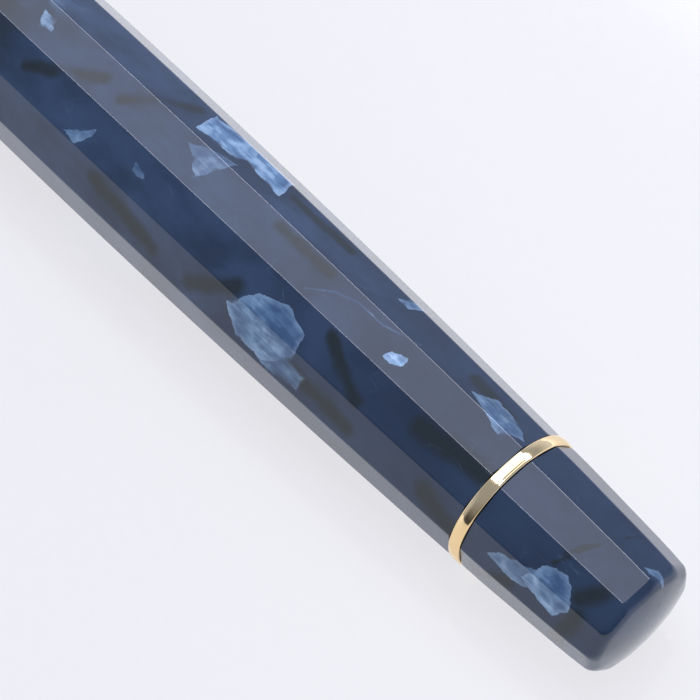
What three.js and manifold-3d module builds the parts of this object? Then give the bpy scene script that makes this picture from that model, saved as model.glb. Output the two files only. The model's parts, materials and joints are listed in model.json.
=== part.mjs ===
// A twelve-sided celluloid fountain pen with a turning-knob piston filler, capped.
// All sizes are millimetres. The pen lies along X: the knob is at +X, the cap at -X, and +Z is up.
// Inside the pen group, x = 0 is the barrel's front shoulder, where the cap's lip stops.
import * as THREE from "three";
import { mergeVertices } from "three/addons/utils/BufferGeometryUtils.js";
import Module from "manifold-3d";

const wasm = await Module();
wasm.setup();

// Outer form
const FACETS = 12; // flats round the barrel, knob, cap, band and crown
const BARREL_LENGTH = 60; // shoulder to tail end
const BARREL_RADIUS = 6.68; // across the corners at the belly
const TAIL_RADIUS = 5.68; // across the corners at the tail end
const BELLY_FROM_TAIL = 48; // tail end to the thickest place
const BARREL_CHAMFER = 0.18;
const BARREL_LEAN = 2; // degrees between barrel flats and cap flats at rest
const RING_WIDTH = 1.02; // tail ring and crown ring
const RING_PROUD = 0.07; // ring above the neighbouring corners
const RING_EDGE = 0.2; // rounding of a ring's edges
const TRIM_GAP = 0.12; // gap on each side of a trim ring
const KNOB_LENGTH = 12.7;
const KNOB_RADIUS = 5.62;
const KNOB_END_RADIUS = 4.95;
const KNOB_EDGE = 0.95; // rounding of the knob's rear edge
const KNOB_DOME = 0.35; // rise of the rear end to its middle
const END_TAPER_POWER = 1.2; // how late the knob and the crown narrow
const KNOB_LEAN = 5; // degrees between knob flats and cap flats at rest
const CROWN_LENGTH = 9.6;
const CROWN_TAPER = 0.75; // how much the crown narrows
const CROWN_EDGE = 0.8;
const CROWN_DOME = 0.6;

// Ink chamber, thread and window
const BARREL_WALL = 1.76; // flat to ink chamber at the belly
const THREAD_LENGTH = 7;
const THREAD_WALL = 0.75; // ink chamber to thread root
const THREAD_DEPTH = 0.35;
const THREAD_PITCH = 1.2;
const THREAD_CLEARANCE = 0.08; // male crest to female crest
const CREST_START = 0.4; // share of the pitch
const CREST_END = 0.6;
const TENON_LENGTH = 5; // thread collar's glued end inside the barrel
const TENON_WALL = 0.55;
const WINDOW_LENGTH = 5;

// Grip, nib and feed
const SECTION_LENGTH = 16;
const SECTION_WAIST = 4.55;
const SECTION_FLARE = 5.0;
const WAIST_PLACE = 1.5; // above 1, the waist lies nearer the nib
const SECTION_RING_WIDTH = 1.0;
const SECTION_RING_DEPTH = 0.6;
const SECTION_REAR_WALL = 3; // ink collector space behind the nib housing
const NIB_RADIUS = 3.0;
const NIB_THICKNESS = 0.35;
const NIB_INSIDE = 11; // held in the housing
const NIB_OUTSIDE = 21.5; // section end to the writing tip
const NIB_SHOULDER = 4.5; // section end to the widest place
const NIB_HALF_WIDTH = 3.7;
const NIB_FLATNESS = 4.6; // radius of the sheet's curve at the shoulders
const NIB_TIP_HALF_WIDTH = 0.42;
const NIB_TIP_HEIGHT = 1.3; // top of the tip above the axis
const NIB_TIP_CURVE = 1.15; // radius of the sheet's curve at the tip
const NIB_CURVE_POWER = 0.9;
const NIB_WRAP = 0.4; // how far below the axis the sheet reaches
const NIB_WAIST = 1.1; // half width that the shoulders' curve draws in to
const NIB_SHOULDER_ROUND = 4;
const NIB_WAIST_FROM_TIP = 7;
const NIB_SLIT = 0.14;
const BREATHER_RADIUS = 0.6;
const BREATHER_FROM_SECTION = 9;
const TIP_BEAD_RADIUS = 0.5;
const HOUSING_WALL = 0.45;
const FEED_OUTSIDE = 17.5;
const FEED_TIP_RADIUS = 0.95;
const FEED_BEVEL = 1.5;
const FIN_COUNT = 8;
const FIN_PITCH = 0.95;
const FIN_GAP = 0.4;
const FIN_TOP = -1.0; // the fins are cut below this height
const CHANNEL_WIDTH = 0.6;
const CHANNEL_FLOOR = 0.7; // above the axis

// Piston filler
const TAIL_WALL = 1.3; // flat to piston housing bore at the tail end
const PISTON_HOUSING_LENGTH = 26;
const PISTON_TRAVEL = 27;
const PISTON_HEAD_LENGTH = 5.6;
const SEAL_LIP = 1.5;
const SEAL_SLOPE = 0.4;
const SEAL_RELIEF = 0.35; // how far the seal's middle stands back
const PISTON_FLANGE = 0.9; // flanges above the core
const PISTON_FRONT_FLANGE = 0.8;
const PISTON_REAR_FLANGE = 0.4;
const CORE_TO_CHAMBER = 1.6;
const ROD_SOCKET = 3;
const ROD_RADIUS = 1.6;
const ROD_FLAT = 1.25; // half the rod's width across its two flats
const ROD_GRIP = 5; // rod left in the spindle with the piston forward
const KEY_WALL = 2.5; // housing wall with the flat-sided hole
const SPINDLE_WALL = 1.0;
const SPINDLE_FLANGE = 0.7;
const SPINDLE_FLANGE_LENGTH = 1.2;
const RETAINER_LENGTH = 2.4;

// Cap
const LIP_LENGTH = 2.2;
const LIP_WALL = 0.45; // female thread root to band seat
const BAND_THICKNESS = 0.55;
const BAND_WIDTH = 4.2;
const BAND_RING_WIDTH = 0.9;
const BAND_PROUD = 0.06; // bands above the cap's own flats
const CAP_THREAD_LENGTH = 8.5;
const CAP_TAPER_POWER = 2.4; // how late the cap narrows
const CAP_WALL = 1.0; // flat to inner cap bore at the crown end
const CAP_END_WALL = 2.6;
const INNER_CAP_WALL = 0.8;
const INNER_CAP_END = 1.2;
const NIB_ROOM = 0.35; // nib to inner cap, all round
const SPRING_LENGTH = 4.2;
const SPRING_WIRE = 0.3; // wire radius
const SPRING_TURNS = 3.5;
const SPRING_SEAT = 0.7;
const STUD_RADIUS = 1.5;
const STUD_HEAD_RADIUS = 2.5;
const STUD_HEAD = 1.2;
const STUD_IN_CROWN = 5.5;

// Clip
const COLLAR_LENGTH = 1.0;
const CLIP_REACH = 39; // collar to roller axis
const CLIP_WIDTH = 3.2;
const CLIP_THICKNESS = 0.9;
const CLIP_ARCH = 1.5; // how far the clip bows away from the cap
const LUG_HEIGHT = 0.9;
const ROLLER_RADIUS = 1.55;
const ROLLER_WIDTH = 1.5;
const ROLLER_PIN_RADIUS = 0.45;
const CHEEK_RADIUS = 1.15;
const CLIP_FORK = 3; // the fork's length behind the roller axis

// Fits
const GLUE_FIT = 0.04; // radial room in a glued or screwed joint
const SLIDE_FIT = 0.1; // radial room where pieces slide or turn
const FACE_GAP = 0.1; // axial room between touching faces

// Smoothness
const ROUND_SIDES = 30;
const SMALL_SIDES = 18;
const NIB_SIDES = 48;
const LONG_STEPS = 12;
const EDGE_STEPS = 3;
const STEPS_PER_TURN = 16;

// Worked-out radii
const FLAT = Math.cos(Math.PI / FACETS); // flat distance over corner distance
const CHAMBER = BARREL_RADIUS * FLAT - BARREL_WALL;
const THREAD_ROOT = CHAMBER + THREAD_WALL;
const THREAD_CREST = THREAD_ROOT + THREAD_DEPTH;
const TENON = CHAMBER + TENON_WALL;
const CAP_THREAD_CREST = THREAD_CREST + THREAD_CLEARANCE;
const CAP_THREAD_ROOT = CAP_THREAD_CREST + THREAD_DEPTH;
const BAND_SEAT = CAP_THREAD_ROOT + LIP_WALL;
const BAND_CORNER = (BAND_SEAT + BAND_THICKNESS) / FLAT;
const CAP_LIP_CORNER = BAND_CORNER - BAND_PROUD;
const HOUSING_OUTER = NIB_RADIUS + SLIDE_FIT / 2 + HOUSING_WALL;
const SECTION_SEAT = SECTION_FLARE - SECTION_RING_DEPTH;
const NIB_EDGE_DROP = NIB_FLATNESS - Math.sqrt(NIB_FLATNESS ** 2 - NIB_HALF_WIDTH ** 2);
const NIB_REACH = Math.hypot(NIB_HALF_WIDTH, NIB_RADIUS - NIB_EDGE_DROP);
const INNER_CAP_BORE = NIB_REACH + NIB_ROOM;
const INNER_CAP_OUTER = INNER_CAP_BORE + INNER_CAP_WALL;
const CAP_BORE = INNER_CAP_OUTER + SLIDE_FIT;
const CAP_END_CORNER = (CAP_BORE + CAP_WALL) / FLAT;
const WIDE_BORE = Math.max(THREAD_ROOT, SECTION_FLARE, CAP_BORE) + SLIDE_FIT;
const TAIL_BORE = TAIL_RADIUS * FLAT - TAIL_WALL;
const PISTON_HOUSING_OUTER = TAIL_BORE - GLUE_FIT;
const SPINDLE_BORE = ROD_RADIUS + SLIDE_FIT;
const SPINDLE_OUTER = SPINDLE_BORE + SPINDLE_WALL;
const SPINDLE_FLANGE_OUTER = SPINDLE_OUTER + SPINDLE_FLANGE;
const RETAINER_OUTER = SPINDLE_FLANGE_OUTER + SLIDE_FIT - GLUE_FIT;

// Worked-out places along the pen
const TAIL_RING_START = BARREL_LENGTH + TRIM_GAP;
const TAIL_RING_END = TAIL_RING_START + RING_WIDTH;
const KNOB_START = TAIL_RING_END + TRIM_GAP;
const KNOB_END = KNOB_START + KNOB_LENGTH;
const PISTON_HOUSING_START = BARREL_LENGTH - PISTON_HOUSING_LENGTH;
const KEY_END = PISTON_HOUSING_START + KEY_WALL;
const PISTON_REAR = PISTON_HOUSING_START - 4 * FACE_GAP;
const PISTON_FRONT = PISTON_REAR - PISTON_HEAD_LENGTH;
const ROD_END = PISTON_REAR + PISTON_TRAVEL + KEY_WALL + ROD_GRIP;
const SPINDLE_START = KEY_END + 2 * FACE_GAP;
const SPINDLE_END = ROD_END + 4 * FACE_GAP;
const FLANGE_START = TAIL_RING_END - RETAINER_LENGTH - SPINDLE_FLANGE_LENGTH - 4 * FACE_GAP;
const FLANGE_END = FLANGE_START + SPINDLE_FLANGE_LENGTH;
const RETAINER_START = FLANGE_END + FACE_GAP;
const WINDOW_START = -THREAD_LENGTH;
const SECTION_START = WINDOW_START - WINDOW_LENGTH;
const SECTION_END = SECTION_START - SECTION_LENGTH;
const HOUSING_START = SECTION_START - SECTION_REAR_WALL;
const NIB_TIP = SECTION_END - NIB_OUTSIDE;
const TIP_BEAD_X = NIB_TIP - TIP_BEAD_RADIUS;
const INNER_CAP_START = SECTION_END - FACE_GAP;
const INNER_CAP_FLOOR = TIP_BEAD_X - TIP_BEAD_RADIUS - 2 * NIB_ROOM;
const INNER_CAP_BACK = INNER_CAP_FLOOR - INNER_CAP_END;
const SEAT_FRONT = INNER_CAP_BACK - SPRING_LENGTH;
const SEAT_BACK = SEAT_FRONT - SPRING_SEAT;
const CAP_FLOOR = SEAT_BACK - FACE_GAP;
const CAP_END = CAP_FLOOR - CAP_END_WALL;
const COLLAR_START = CAP_END - FACE_GAP;
const COLLAR_END = COLLAR_START - COLLAR_LENGTH;
const CROWN_RING_START = COLLAR_END - TRIM_GAP;
const CROWN_RING_END = CROWN_RING_START - RING_WIDTH;
const CROWN_START = CROWN_RING_END - TRIM_GAP;
const CROWN_END = CROWN_START - CROWN_LENGTH;
const LIP_START = -FACE_GAP;
const LIP_END = LIP_START - LIP_LENGTH;
const AXIS_HEIGHT = BAND_CORNER * FLAT; // the band's lowest flat rests on the table
const MIDDLE = (KNOB_END + CROWN_END) / 2;

// Finishes
const celluloid = { color: 0x3c5385, roughness: 0.12, metalness: 0.0 };
const gold = { color: 0xdcb878, roughness: 0.14, metalness: 1.0 };
const brass = { color: 0xb99a5a, roughness: 0.35, metalness: 1.0 };
const steel = { color: 0xb9bcc0, roughness: 0.28, metalness: 1.0 };
const ebonite = { color: 0x151518, roughness: 0.45, metalness: 0.0 };
const amber = { color: 0x9c6a2c, roughness: 0.08, metalness: 0.0 };
const nylon = { color: 0xe4e2da, roughness: 0.4, metalness: 0.0 };

const pen = new THREE.Group();

// Turns a closed three.js geometry into a solid with its faces pointing out.
function toSolid(geometry) {
  geometry.deleteAttribute("normal");
  geometry.deleteAttribute("uv");
  const merged = mergeVertices(geometry, 1e-5);
  const position = merged.getAttribute("position").array;
  const corners = merged.getIndex().array;
  const triangles = [];
  let sixVolumes = 0;
  const [a, b, c] = [new THREE.Vector3(), new THREE.Vector3(), new THREE.Vector3()];
  for (let i = 0; i < corners.length; i += 3) {
    const [p, q, r] = corners.slice(i, i + 3);
    if (p === q || q === r || r === p) continue;
    triangles.push([p, q, r]);
    a.fromArray(position, 3 * p);
    b.fromArray(position, 3 * q);
    c.fromArray(position, 3 * r);
    sixVolumes += a.dot(b.cross(c));
  }
  const facing = sixVolumes < 0 ? triangles.map(([p, q, r]) => [p, r, q]) : triangles;
  const mesh = new wasm.Mesh({
    numProp: 3,
    vertProperties: new Float32Array(position),
    triVerts: new Uint32Array(facing.flat()),
  });
  return new wasm.Manifold(mesh);
}

// Adds a solid to a group as a named mesh with its own finish.
function add(group, name, solid, finish) {
  const { numProp, vertProperties, triVerts } = solid.getMesh();
  const position = new Float32Array((vertProperties.length / numProp) * 3);
  for (let i = 0; i < position.length / 3; i += 1) {
    position.set(vertProperties.subarray(i * numProp, i * numProp + 3), 3 * i);
  }
  const geometry = new THREE.BufferGeometry();
  geometry.setAttribute("position", new THREE.BufferAttribute(position, 3));
  geometry.setIndex(new THREE.BufferAttribute(new Uint32Array(triVerts), 1));
  geometry.computeVertexNormals();
  const mesh = new THREE.Mesh(geometry, new THREE.MeshStandardMaterial(finish));
  mesh.name = name;
  group.add(mesh);
}

// Turns an outline of [x, radius] points about the pen's axis. A flat faces straight down.
function latheGeometry(outline, sides) {
  const profile = outline.map(([x, radius]) => new THREE.Vector2(radius, x));
  const geometry = new THREE.LatheGeometry(profile, sides, Math.PI / sides);
  geometry.rotateZ(-Math.PI / 2);
  return geometry;
}

function turn(outline, sides = ROUND_SIDES) {
  return toSolid(latheGeometry(outline, sides));
}

function rod(from, to, radius, sides = ROUND_SIDES) {
  return turn([[from, 0], [from, radius], [to, radius], [to, 0]], sides);
}

function tube(from, to, outer, inner, sides = ROUND_SIDES) {
  return turn([[from, inner], [from, outer], [to, outer], [to, inner], [from, inner]], sides);
}

function block(from, to, halfWidth, low, high) {
  const geometry = new THREE.BoxGeometry(Math.abs(to - from), 2 * halfWidth, high - low);
  geometry.translate((from + to) / 2, 0, (low + high) / 2);
  return toSolid(geometry);
}

// Outline of a faceted end piece: rounded start edge, gentle taper, rounded end edge, shallow dome.
// The x values run from the start towards the end in the given direction, +1 or -1.
function endPieceOutline(start, direction, length, startRadius, endRadius, edge, dome) {
  const outline = [[start, 0], [start, startRadius - RING_EDGE]];
  const straight = length - dome - edge;
  for (let i = 0; i <= LONG_STEPS; i += 1) {
    const share = i / LONG_STEPS;
    const along = RING_EDGE + (straight - RING_EDGE) * share;
    const radius = startRadius - (startRadius - endRadius) * share ** END_TAPER_POWER;
    outline.push([start + direction * along, radius]);
  }
  for (let i = 1; i <= EDGE_STEPS; i += 1) {
    const angle = (i / EDGE_STEPS) * (Math.PI / 2);
    const along = straight + edge * Math.sin(angle);
    outline.push([start + direction * along, endRadius - edge * (1 - Math.cos(angle))]);
  }
  outline.push([start + direction * length, 0]);
  return outline;
}

// Outline of a round trim ring with softened outer edges.
function ringOutline(from, to, outer, inner) {
  const outline = [[from, inner], [from, outer - RING_EDGE]];
  const inwards = Math.sign(to - from) * RING_EDGE;
  outline.push([from + inwards, outer]);
  outline.push([to - inwards, outer]);
  outline.push([to, outer - RING_EDGE]);
  outline.push([to, inner]);
  outline.push([from, inner]);
  return outline;
}

// Outer outline of a run of thread, as rings a pitch apart between root and crest.
function threadOutline(from, to, root, crest) {
  const outline = [];
  const direction = Math.sign(to - from);
  const turns = Math.floor(Math.abs(to - from) / THREAD_PITCH);
  for (let i = 0; i < turns; i += 1) {
    const x = from + direction * THREAD_PITCH * i;
    outline.push([x, root]);
    outline.push([x + direction * THREAD_PITCH * CREST_START, crest]);
    outline.push([x + direction * THREAD_PITCH * CREST_END, crest]);
  }
  outline.push([to, root]);
  return outline;
}

function barrelCorner(x) {
  const toBelly = (BELLY_FROM_TAIL - (BARREL_LENGTH - x)) / BELLY_FROM_TAIL;
  return BARREL_RADIUS - (BARREL_RADIUS - TAIL_RADIUS) * toBelly ** 2;
}

function capCorner(x) {
  const share = (LIP_START - x) / (LIP_START - CAP_END);
  return CAP_LIP_CORNER - (CAP_LIP_CORNER - CAP_END_CORNER) * share ** CAP_TAPER_POWER;
}

// Barrel: faceted tube with the ink chamber, a glue seat in front and the piston housing seat behind.
function makeBarrel() {
  const outline = [[0, 0], [0, barrelCorner(0) - BARREL_CHAMFER]];
  for (let i = 0; i <= LONG_STEPS; i += 1) {
    const x = BARREL_CHAMFER + ((BARREL_LENGTH - 2 * BARREL_CHAMFER) * i) / LONG_STEPS;
    outline.push([x, barrelCorner(x)]);
  }
  outline.push([BARREL_LENGTH, barrelCorner(BARREL_LENGTH) - BARREL_CHAMFER]);
  outline.push([BARREL_LENGTH, 0]);
  const past = 1;
  const chamber = rod(-past, PISTON_HOUSING_START - FACE_GAP, CHAMBER);
  const gluedSeat = rod(-past, TENON_LENGTH + FACE_GAP, TENON + GLUE_FIT);
  const housingSeat = rod(PISTON_HOUSING_START - 2 * FACE_GAP, BARREL_LENGTH + past, TAIL_BORE);
  return turn(outline, FACETS).subtract(chamber).subtract(gluedSeat).subtract(housingSeat);
}

// Thread collar: glued into the barrel's front, carries the cap thread.
function makeThreadCollar() {
  const outline = [[TENON_LENGTH, CHAMBER], [TENON_LENGTH, TENON], [FACE_GAP, TENON]];
  outline.push([-FACE_GAP, TENON], [-FACE_GAP, THREAD_ROOT]);
  outline.push(...threadOutline(-2 * FACE_GAP, WINDOW_START, THREAD_ROOT, THREAD_CREST));
  outline.push([WINDOW_START, CHAMBER], [TENON_LENGTH, CHAMBER]);
  return turn(outline);
}

// Grip section: waisted outside, with the nib housing's seat and a step for the gold ring.
function makeSection() {
  const bore = HOUSING_OUTER + GLUE_FIT;
  const outline = [[SECTION_START - FACE_GAP, bore + HOUSING_WALL]];
  outline.push([SECTION_START - FACE_GAP, THREAD_ROOT]);
  const ringStart = SECTION_END + SECTION_RING_WIDTH + FACE_GAP;
  for (let i = 1; i <= LONG_STEPS; i += 1) {
    const share = i / LONG_STEPS;
    const x = SECTION_START - FACE_GAP + (ringStart - SECTION_START + FACE_GAP) * share;
    const straight = THREAD_ROOT + (SECTION_FLARE - THREAD_ROOT) * share;
    const depth = (THREAD_ROOT + SECTION_FLARE) / 2 - SECTION_WAIST;
    const waist = depth * Math.sin(Math.PI * share ** WAIST_PLACE);
    outline.push([x, straight - waist]);
  }
  outline.push([ringStart, SECTION_SEAT], [SECTION_END, SECTION_SEAT], [SECTION_END, bore]);
  outline.push([HOUSING_START, bore], [HOUSING_START, bore + HOUSING_WALL]);
  outline.push([SECTION_START - FACE_GAP, bore + HOUSING_WALL]);
  return turn(outline);
}

// Height of the nib's top line above the axis, and the radius of its sheet there.
function nibShape(x) {
  const out = Math.max(0, (SECTION_END - x) / NIB_OUTSIDE);
  const shoulder = NIB_SHOULDER / NIB_OUTSIDE;
  const top = NIB_RADIUS - (NIB_RADIUS - NIB_TIP_HEIGHT) * out ** 2;
  const rise = Math.sin((Math.min(out, shoulder) / shoulder) * (Math.PI / 2));
  const fall = Math.max(0, (out - shoulder) / (1 - shoulder));
  const wide = NIB_RADIUS + (NIB_FLATNESS - NIB_RADIUS) * rise;
  return { top, radius: wide - (wide - NIB_TIP_CURVE) * fall ** NIB_CURVE_POWER };
}

// Nib: a curved sheet trimmed to its outline, then slit from the breather hole to the tip.
function makeNib() {
  const rear = SECTION_END + NIB_INSIDE;
  const outer = [[rear, NIB_RADIUS]];
  const inner = [[rear, NIB_RADIUS - NIB_THICKNESS]];
  for (let i = 0; i <= LONG_STEPS; i += 1) {
    const x = SECTION_END - (NIB_OUTSIDE * i) / LONG_STEPS;
    outer.push([x, nibShape(x).radius]);
    inner.unshift([x, nibShape(x).radius - NIB_THICKNESS]);
  }
  const sheet = latheGeometry([...outer, ...inner, outer[0]], NIB_SIDES);
  const points = sheet.getAttribute("position");
  for (let i = 0; i < points.count; i += 1) {
    const shape = nibShape(points.getX(i));
    points.setZ(i, points.getZ(i) + shape.top - shape.radius);
  }
  const plan = new THREE.Shape();
  const shoulderX = SECTION_END - NIB_SHOULDER;
  plan.moveTo(rear + 1, -NIB_HALF_WIDTH);
  plan.lineTo(shoulderX, -NIB_HALF_WIDTH);
  const roundX = shoulderX - NIB_SHOULDER_ROUND;
  const waistX = NIB_TIP + NIB_WAIST_FROM_TIP;
  plan.bezierCurveTo(roundX, -NIB_HALF_WIDTH, waistX, -NIB_WAIST, NIB_TIP, -NIB_TIP_HALF_WIDTH);
  plan.lineTo(NIB_TIP, NIB_TIP_HALF_WIDTH);
  plan.bezierCurveTo(waistX, NIB_WAIST, roundX, NIB_HALF_WIDTH, shoulderX, NIB_HALF_WIDTH);
  plan.lineTo(rear + 1, NIB_HALF_WIDTH);
  plan.closePath();
  const tall = 2 * NIB_RADIUS;
  const options = { depth: tall, bevelEnabled: false, curveSegments: LONG_STEPS };
  const trim = new THREE.ExtrudeGeometry(plan, options);
  trim.translate(0, 0, -NIB_WRAP);
  const breatherX = SECTION_END - BREATHER_FROM_SECTION;
  const hole = new THREE.CylinderGeometry(BREATHER_RADIUS, BREATHER_RADIUS, tall, SMALL_SIDES);
  hole.rotateX(Math.PI / 2);
  hole.translate(breatherX, 0, NIB_RADIUS);
  const slit = block(NIB_TIP - 1, breatherX, NIB_SLIT / 2, 0, tall);
  return toSolid(sheet).intersect(toSolid(trim)).subtract(toSolid(hole)).subtract(slit);
}

// Feed: ebonite rod that narrows towards the tip, with an ink channel above and fins below.
function makeFeed() {
  const rear = HOUSING_START - FACE_GAP;
  const tip = SECTION_END - FEED_OUTSIDE;
  const underNib = NIB_THICKNESS + GLUE_FIT;
  const outline = [[rear, 0], [rear, NIB_RADIUS - underNib]];
  for (let i = 0; i <= LONG_STEPS; i += 1) {
    const x = SECTION_END + ((tip + FEED_BEVEL - SECTION_END) * i) / LONG_STEPS;
    outline.push([x, nibShape(x).top - underNib - SLIDE_FIT / 2]);
  }
  outline.push([tip, FEED_TIP_RADIUS], [tip, 0]);
  let feed = turn(outline);
  feed = feed.subtract(block(rear + 1, tip - 1, CHANNEL_WIDTH / 2, CHANNEL_FLOOR, NIB_RADIUS));
  for (let i = 0; i < FIN_COUNT; i += 1) {
    const x = SECTION_END - 1 - FIN_PITCH * i;
    feed = feed.subtract(block(x, x - FIN_GAP, NIB_RADIUS, -NIB_RADIUS, FIN_TOP));
  }
  return feed;
}

function makeTipBead() {
  const bead = new THREE.SphereGeometry(TIP_BEAD_RADIUS, SMALL_SIDES, SMALL_SIDES / 2);
  bead.translate(TIP_BEAD_X, 0, nibShape(NIB_TIP).top - NIB_THICKNESS / 2);
  return toSolid(bead);
}

// Piston housing: screwed into the tail, with a flat-sided hole that stops the rod turning.
function makePistonHousing() {
  const end = TAIL_RING_END;
  const body = rod(PISTON_HOUSING_START, end, PISTON_HOUSING_OUTER);
  const spindleRoom = rod(KEY_END, end + 1, SPINDLE_OUTER + SLIDE_FIT);
  const flangeRoom = rod(FLANGE_START - FACE_GAP, end + 1, SPINDLE_FLANGE_OUTER + SLIDE_FIT);
  const keyHole = flattedRod(PISTON_HOUSING_START - 1, KEY_END + 1, SLIDE_FIT);
  return body.subtract(spindleRoom).subtract(flangeRoom).subtract(keyHole);
}

function flattedRod(from, to, room) {
  const size = ROD_RADIUS + room;
  const flats = block(from, to, ROD_FLAT + room, -2 * size, 2 * size);
  return rod(from, to, size, SMALL_SIDES).intersect(flats);
}

// Spindle: hollow screw that turns with the knob; its flange is trapped by the retainer.
function makeSpindle() {
  const shaft = tube(SPINDLE_START, SPINDLE_END, SPINDLE_OUTER, SPINDLE_BORE);
  const flange = tube(FLANGE_START, FLANGE_END, SPINDLE_FLANGE_OUTER, SPINDLE_BORE + GLUE_FIT);
  return shaft.add(flange);
}

// A group that turns what it holds about the pen's axis.
function leaningGroup(degrees) {
  const lean = new THREE.Group();
  lean.rotation.x = THREE.MathUtils.degToRad(degrees);
  pen.add(lean);
  return lean;
}

function makeKnob() {
  const size = [KNOB_LENGTH, KNOB_RADIUS, KNOB_END_RADIUS, KNOB_EDGE, KNOB_DOME];
  const outline = endPieceOutline(KNOB_START, 1, ...size);
  const bore = rod(KNOB_START - 1, SPINDLE_END + FACE_GAP, SPINDLE_OUTER + GLUE_FIT);
  return turn(outline, FACETS).subtract(bore);
}

// Piston seal: a soft sleeve with a lip at each end, round the head's core.
function makeSeal(core) {
  const lip = CHAMBER - SLIDE_FIT / 2;
  const waist = lip - SEAL_RELIEF;
  const rear = PISTON_REAR - PISTON_REAR_FLANGE - FACE_GAP;
  const outline = [[PISTON_FRONT, core + GLUE_FIT], [PISTON_FRONT, lip]];
  outline.push([PISTON_FRONT + SEAL_LIP, lip], [PISTON_FRONT + SEAL_LIP + SEAL_SLOPE, waist]);
  outline.push([rear - SEAL_LIP - SEAL_SLOPE, waist], [rear - SEAL_LIP, lip]);
  outline.push([rear, lip], [rear, core + GLUE_FIT]);
  outline.push([PISTON_FRONT, core + GLUE_FIT]);
  return turn(outline);
}

function makePistonHead(core) {
  const flange = core + PISTON_FLANGE;
  const front = PISTON_FRONT - PISTON_FRONT_FLANGE;
  const rear = PISTON_REAR - PISTON_REAR_FLANGE;
  const outline = [[front, 0], [front, flange], [PISTON_FRONT - FACE_GAP, flange]];
  outline.push([PISTON_FRONT - FACE_GAP, core], [rear, core], [rear, flange]);
  outline.push([PISTON_REAR, flange], [PISTON_REAR, 0]);
  const socket = rod(PISTON_REAR - ROD_SOCKET, PISTON_REAR + 1, ROD_RADIUS + GLUE_FIT);
  return turn(outline).subtract(socket);
}

// Cap shell: faceted outside, band seat at the lip end, thread, wide bore and inner cap bore inside.
function makeCapShell() {
  const seatEnd = LIP_END - 2 * BAND_RING_WIDTH - BAND_WIDTH - 4 * FACE_GAP;
  const bandSeat = rod(LIP_START, seatEnd - 1, BAND_SEAT - GLUE_FIT);
  const outline = [[seatEnd, 0], [seatEnd, capCorner(seatEnd)]];
  for (let i = 1; i <= LONG_STEPS; i += 1) {
    const x = seatEnd + ((CAP_END - seatEnd) * i) / LONG_STEPS;
    outline.push([x, capCorner(x)]);
  }
  outline.push([CAP_END, 0]);
  const threadEnd = LIP_START - CAP_THREAD_LENGTH;
  const thread = [[LIP_START + 1, 0], [LIP_START + 1, CAP_THREAD_CREST]];
  thread.push(...threadOutline(LIP_START, threadEnd, CAP_THREAD_CREST, CAP_THREAD_ROOT));
  thread.push([threadEnd - 1, CAP_THREAD_CREST], [threadEnd - 1, 0]);
  const wide = rod(threadEnd, SECTION_END + 2 * FACE_GAP, WIDE_BORE);
  const bore = rod(SECTION_END + 1, CAP_FLOOR, CAP_BORE);
  const studHole = rod(CAP_FLOOR + 1, CAP_END - 1, STUD_RADIUS + GLUE_FIT, SMALL_SIDES);
  const headFloor = CAP_FLOOR - STUD_HEAD - FACE_GAP;
  const headRoom = rod(CAP_FLOOR + 1, headFloor, STUD_HEAD_RADIUS + SLIDE_FIT, SMALL_SIDES);
  let shell = turn(outline, FACETS).add(bandSeat);
  for (const hollow of [turn(thread), wide, bore, studHole, headRoom]) {
    shell = shell.subtract(hollow);
  }
  return shell;
}

// Faceted sleeve on the cap's band seat.
function makeBand(from, width, corner) {
  const round = rod(from + 1, from - width - 1, BAND_SEAT);
  return rod(from, from - width, corner, FACETS).subtract(round);
}

function makeInnerCap() {
  const outline = [[INNER_CAP_BACK, 0], [INNER_CAP_BACK, INNER_CAP_OUTER]];
  outline.push([INNER_CAP_START, INNER_CAP_OUTER], [INNER_CAP_START, INNER_CAP_BORE]);
  outline.push([INNER_CAP_FLOOR, INNER_CAP_BORE], [INNER_CAP_FLOOR, 0]);
  return turn(outline);
}

// Spring wire along a helix.
class Helix extends THREE.Curve {
  getPoint(share, target = new THREE.Vector3()) {
    const angle = share * SPRING_TURNS * 2 * Math.PI;
    const coil = INNER_CAP_BORE - 3 * SPRING_WIRE;
    const room = SPRING_WIRE + FACE_GAP;
    const x = INNER_CAP_BACK - room - share * (SPRING_LENGTH - 2 * room);
    return target.set(x, coil * Math.cos(angle), coil * Math.sin(angle));
  }
}

function makeSpring() {
  const section = new THREE.Shape();
  section.absarc(0, 0, SPRING_WIRE, 0, 2 * Math.PI);
  const steps = Math.round(SPRING_TURNS * STEPS_PER_TURN);
  const options = { steps, bevelEnabled: false, extrudePath: new Helix(), curveSegments: 4 };
  return toSolid(new THREE.ExtrudeGeometry(section, options));
}

function makeStud() {
  const headStart = CAP_FLOOR - FACE_GAP;
  const headEnd = CAP_FLOOR - STUD_HEAD;
  const tip = CROWN_START - STUD_IN_CROWN;
  const outline = [[headStart, 0], [headStart, STUD_HEAD_RADIUS], [headEnd, STUD_HEAD_RADIUS]];
  outline.push([headEnd, STUD_RADIUS], [tip, STUD_RADIUS], [tip, 0]);
  return turn(outline, SMALL_SIDES);
}

function makeCrown() {
  const end = CAP_END_CORNER - CROWN_TAPER;
  const size = [CROWN_LENGTH, CAP_END_CORNER, end, CROWN_EDGE, CROWN_DOME];
  const outline = endPieceOutline(CROWN_START, -1, ...size);
  const holeEnd = CROWN_START - STUD_IN_CROWN - FACE_GAP;
  const hole = rod(CROWN_START + 1, holeEnd, STUD_RADIUS + GLUE_FIT, SMALL_SIDES);
  return turn(outline, FACETS).subtract(hole);
}

// Clip collar: a washer on the stud with a lug that the clip arm springs from.
const lugTop = CAP_END_CORNER * FLAT + LUG_HEIGHT;

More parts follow.
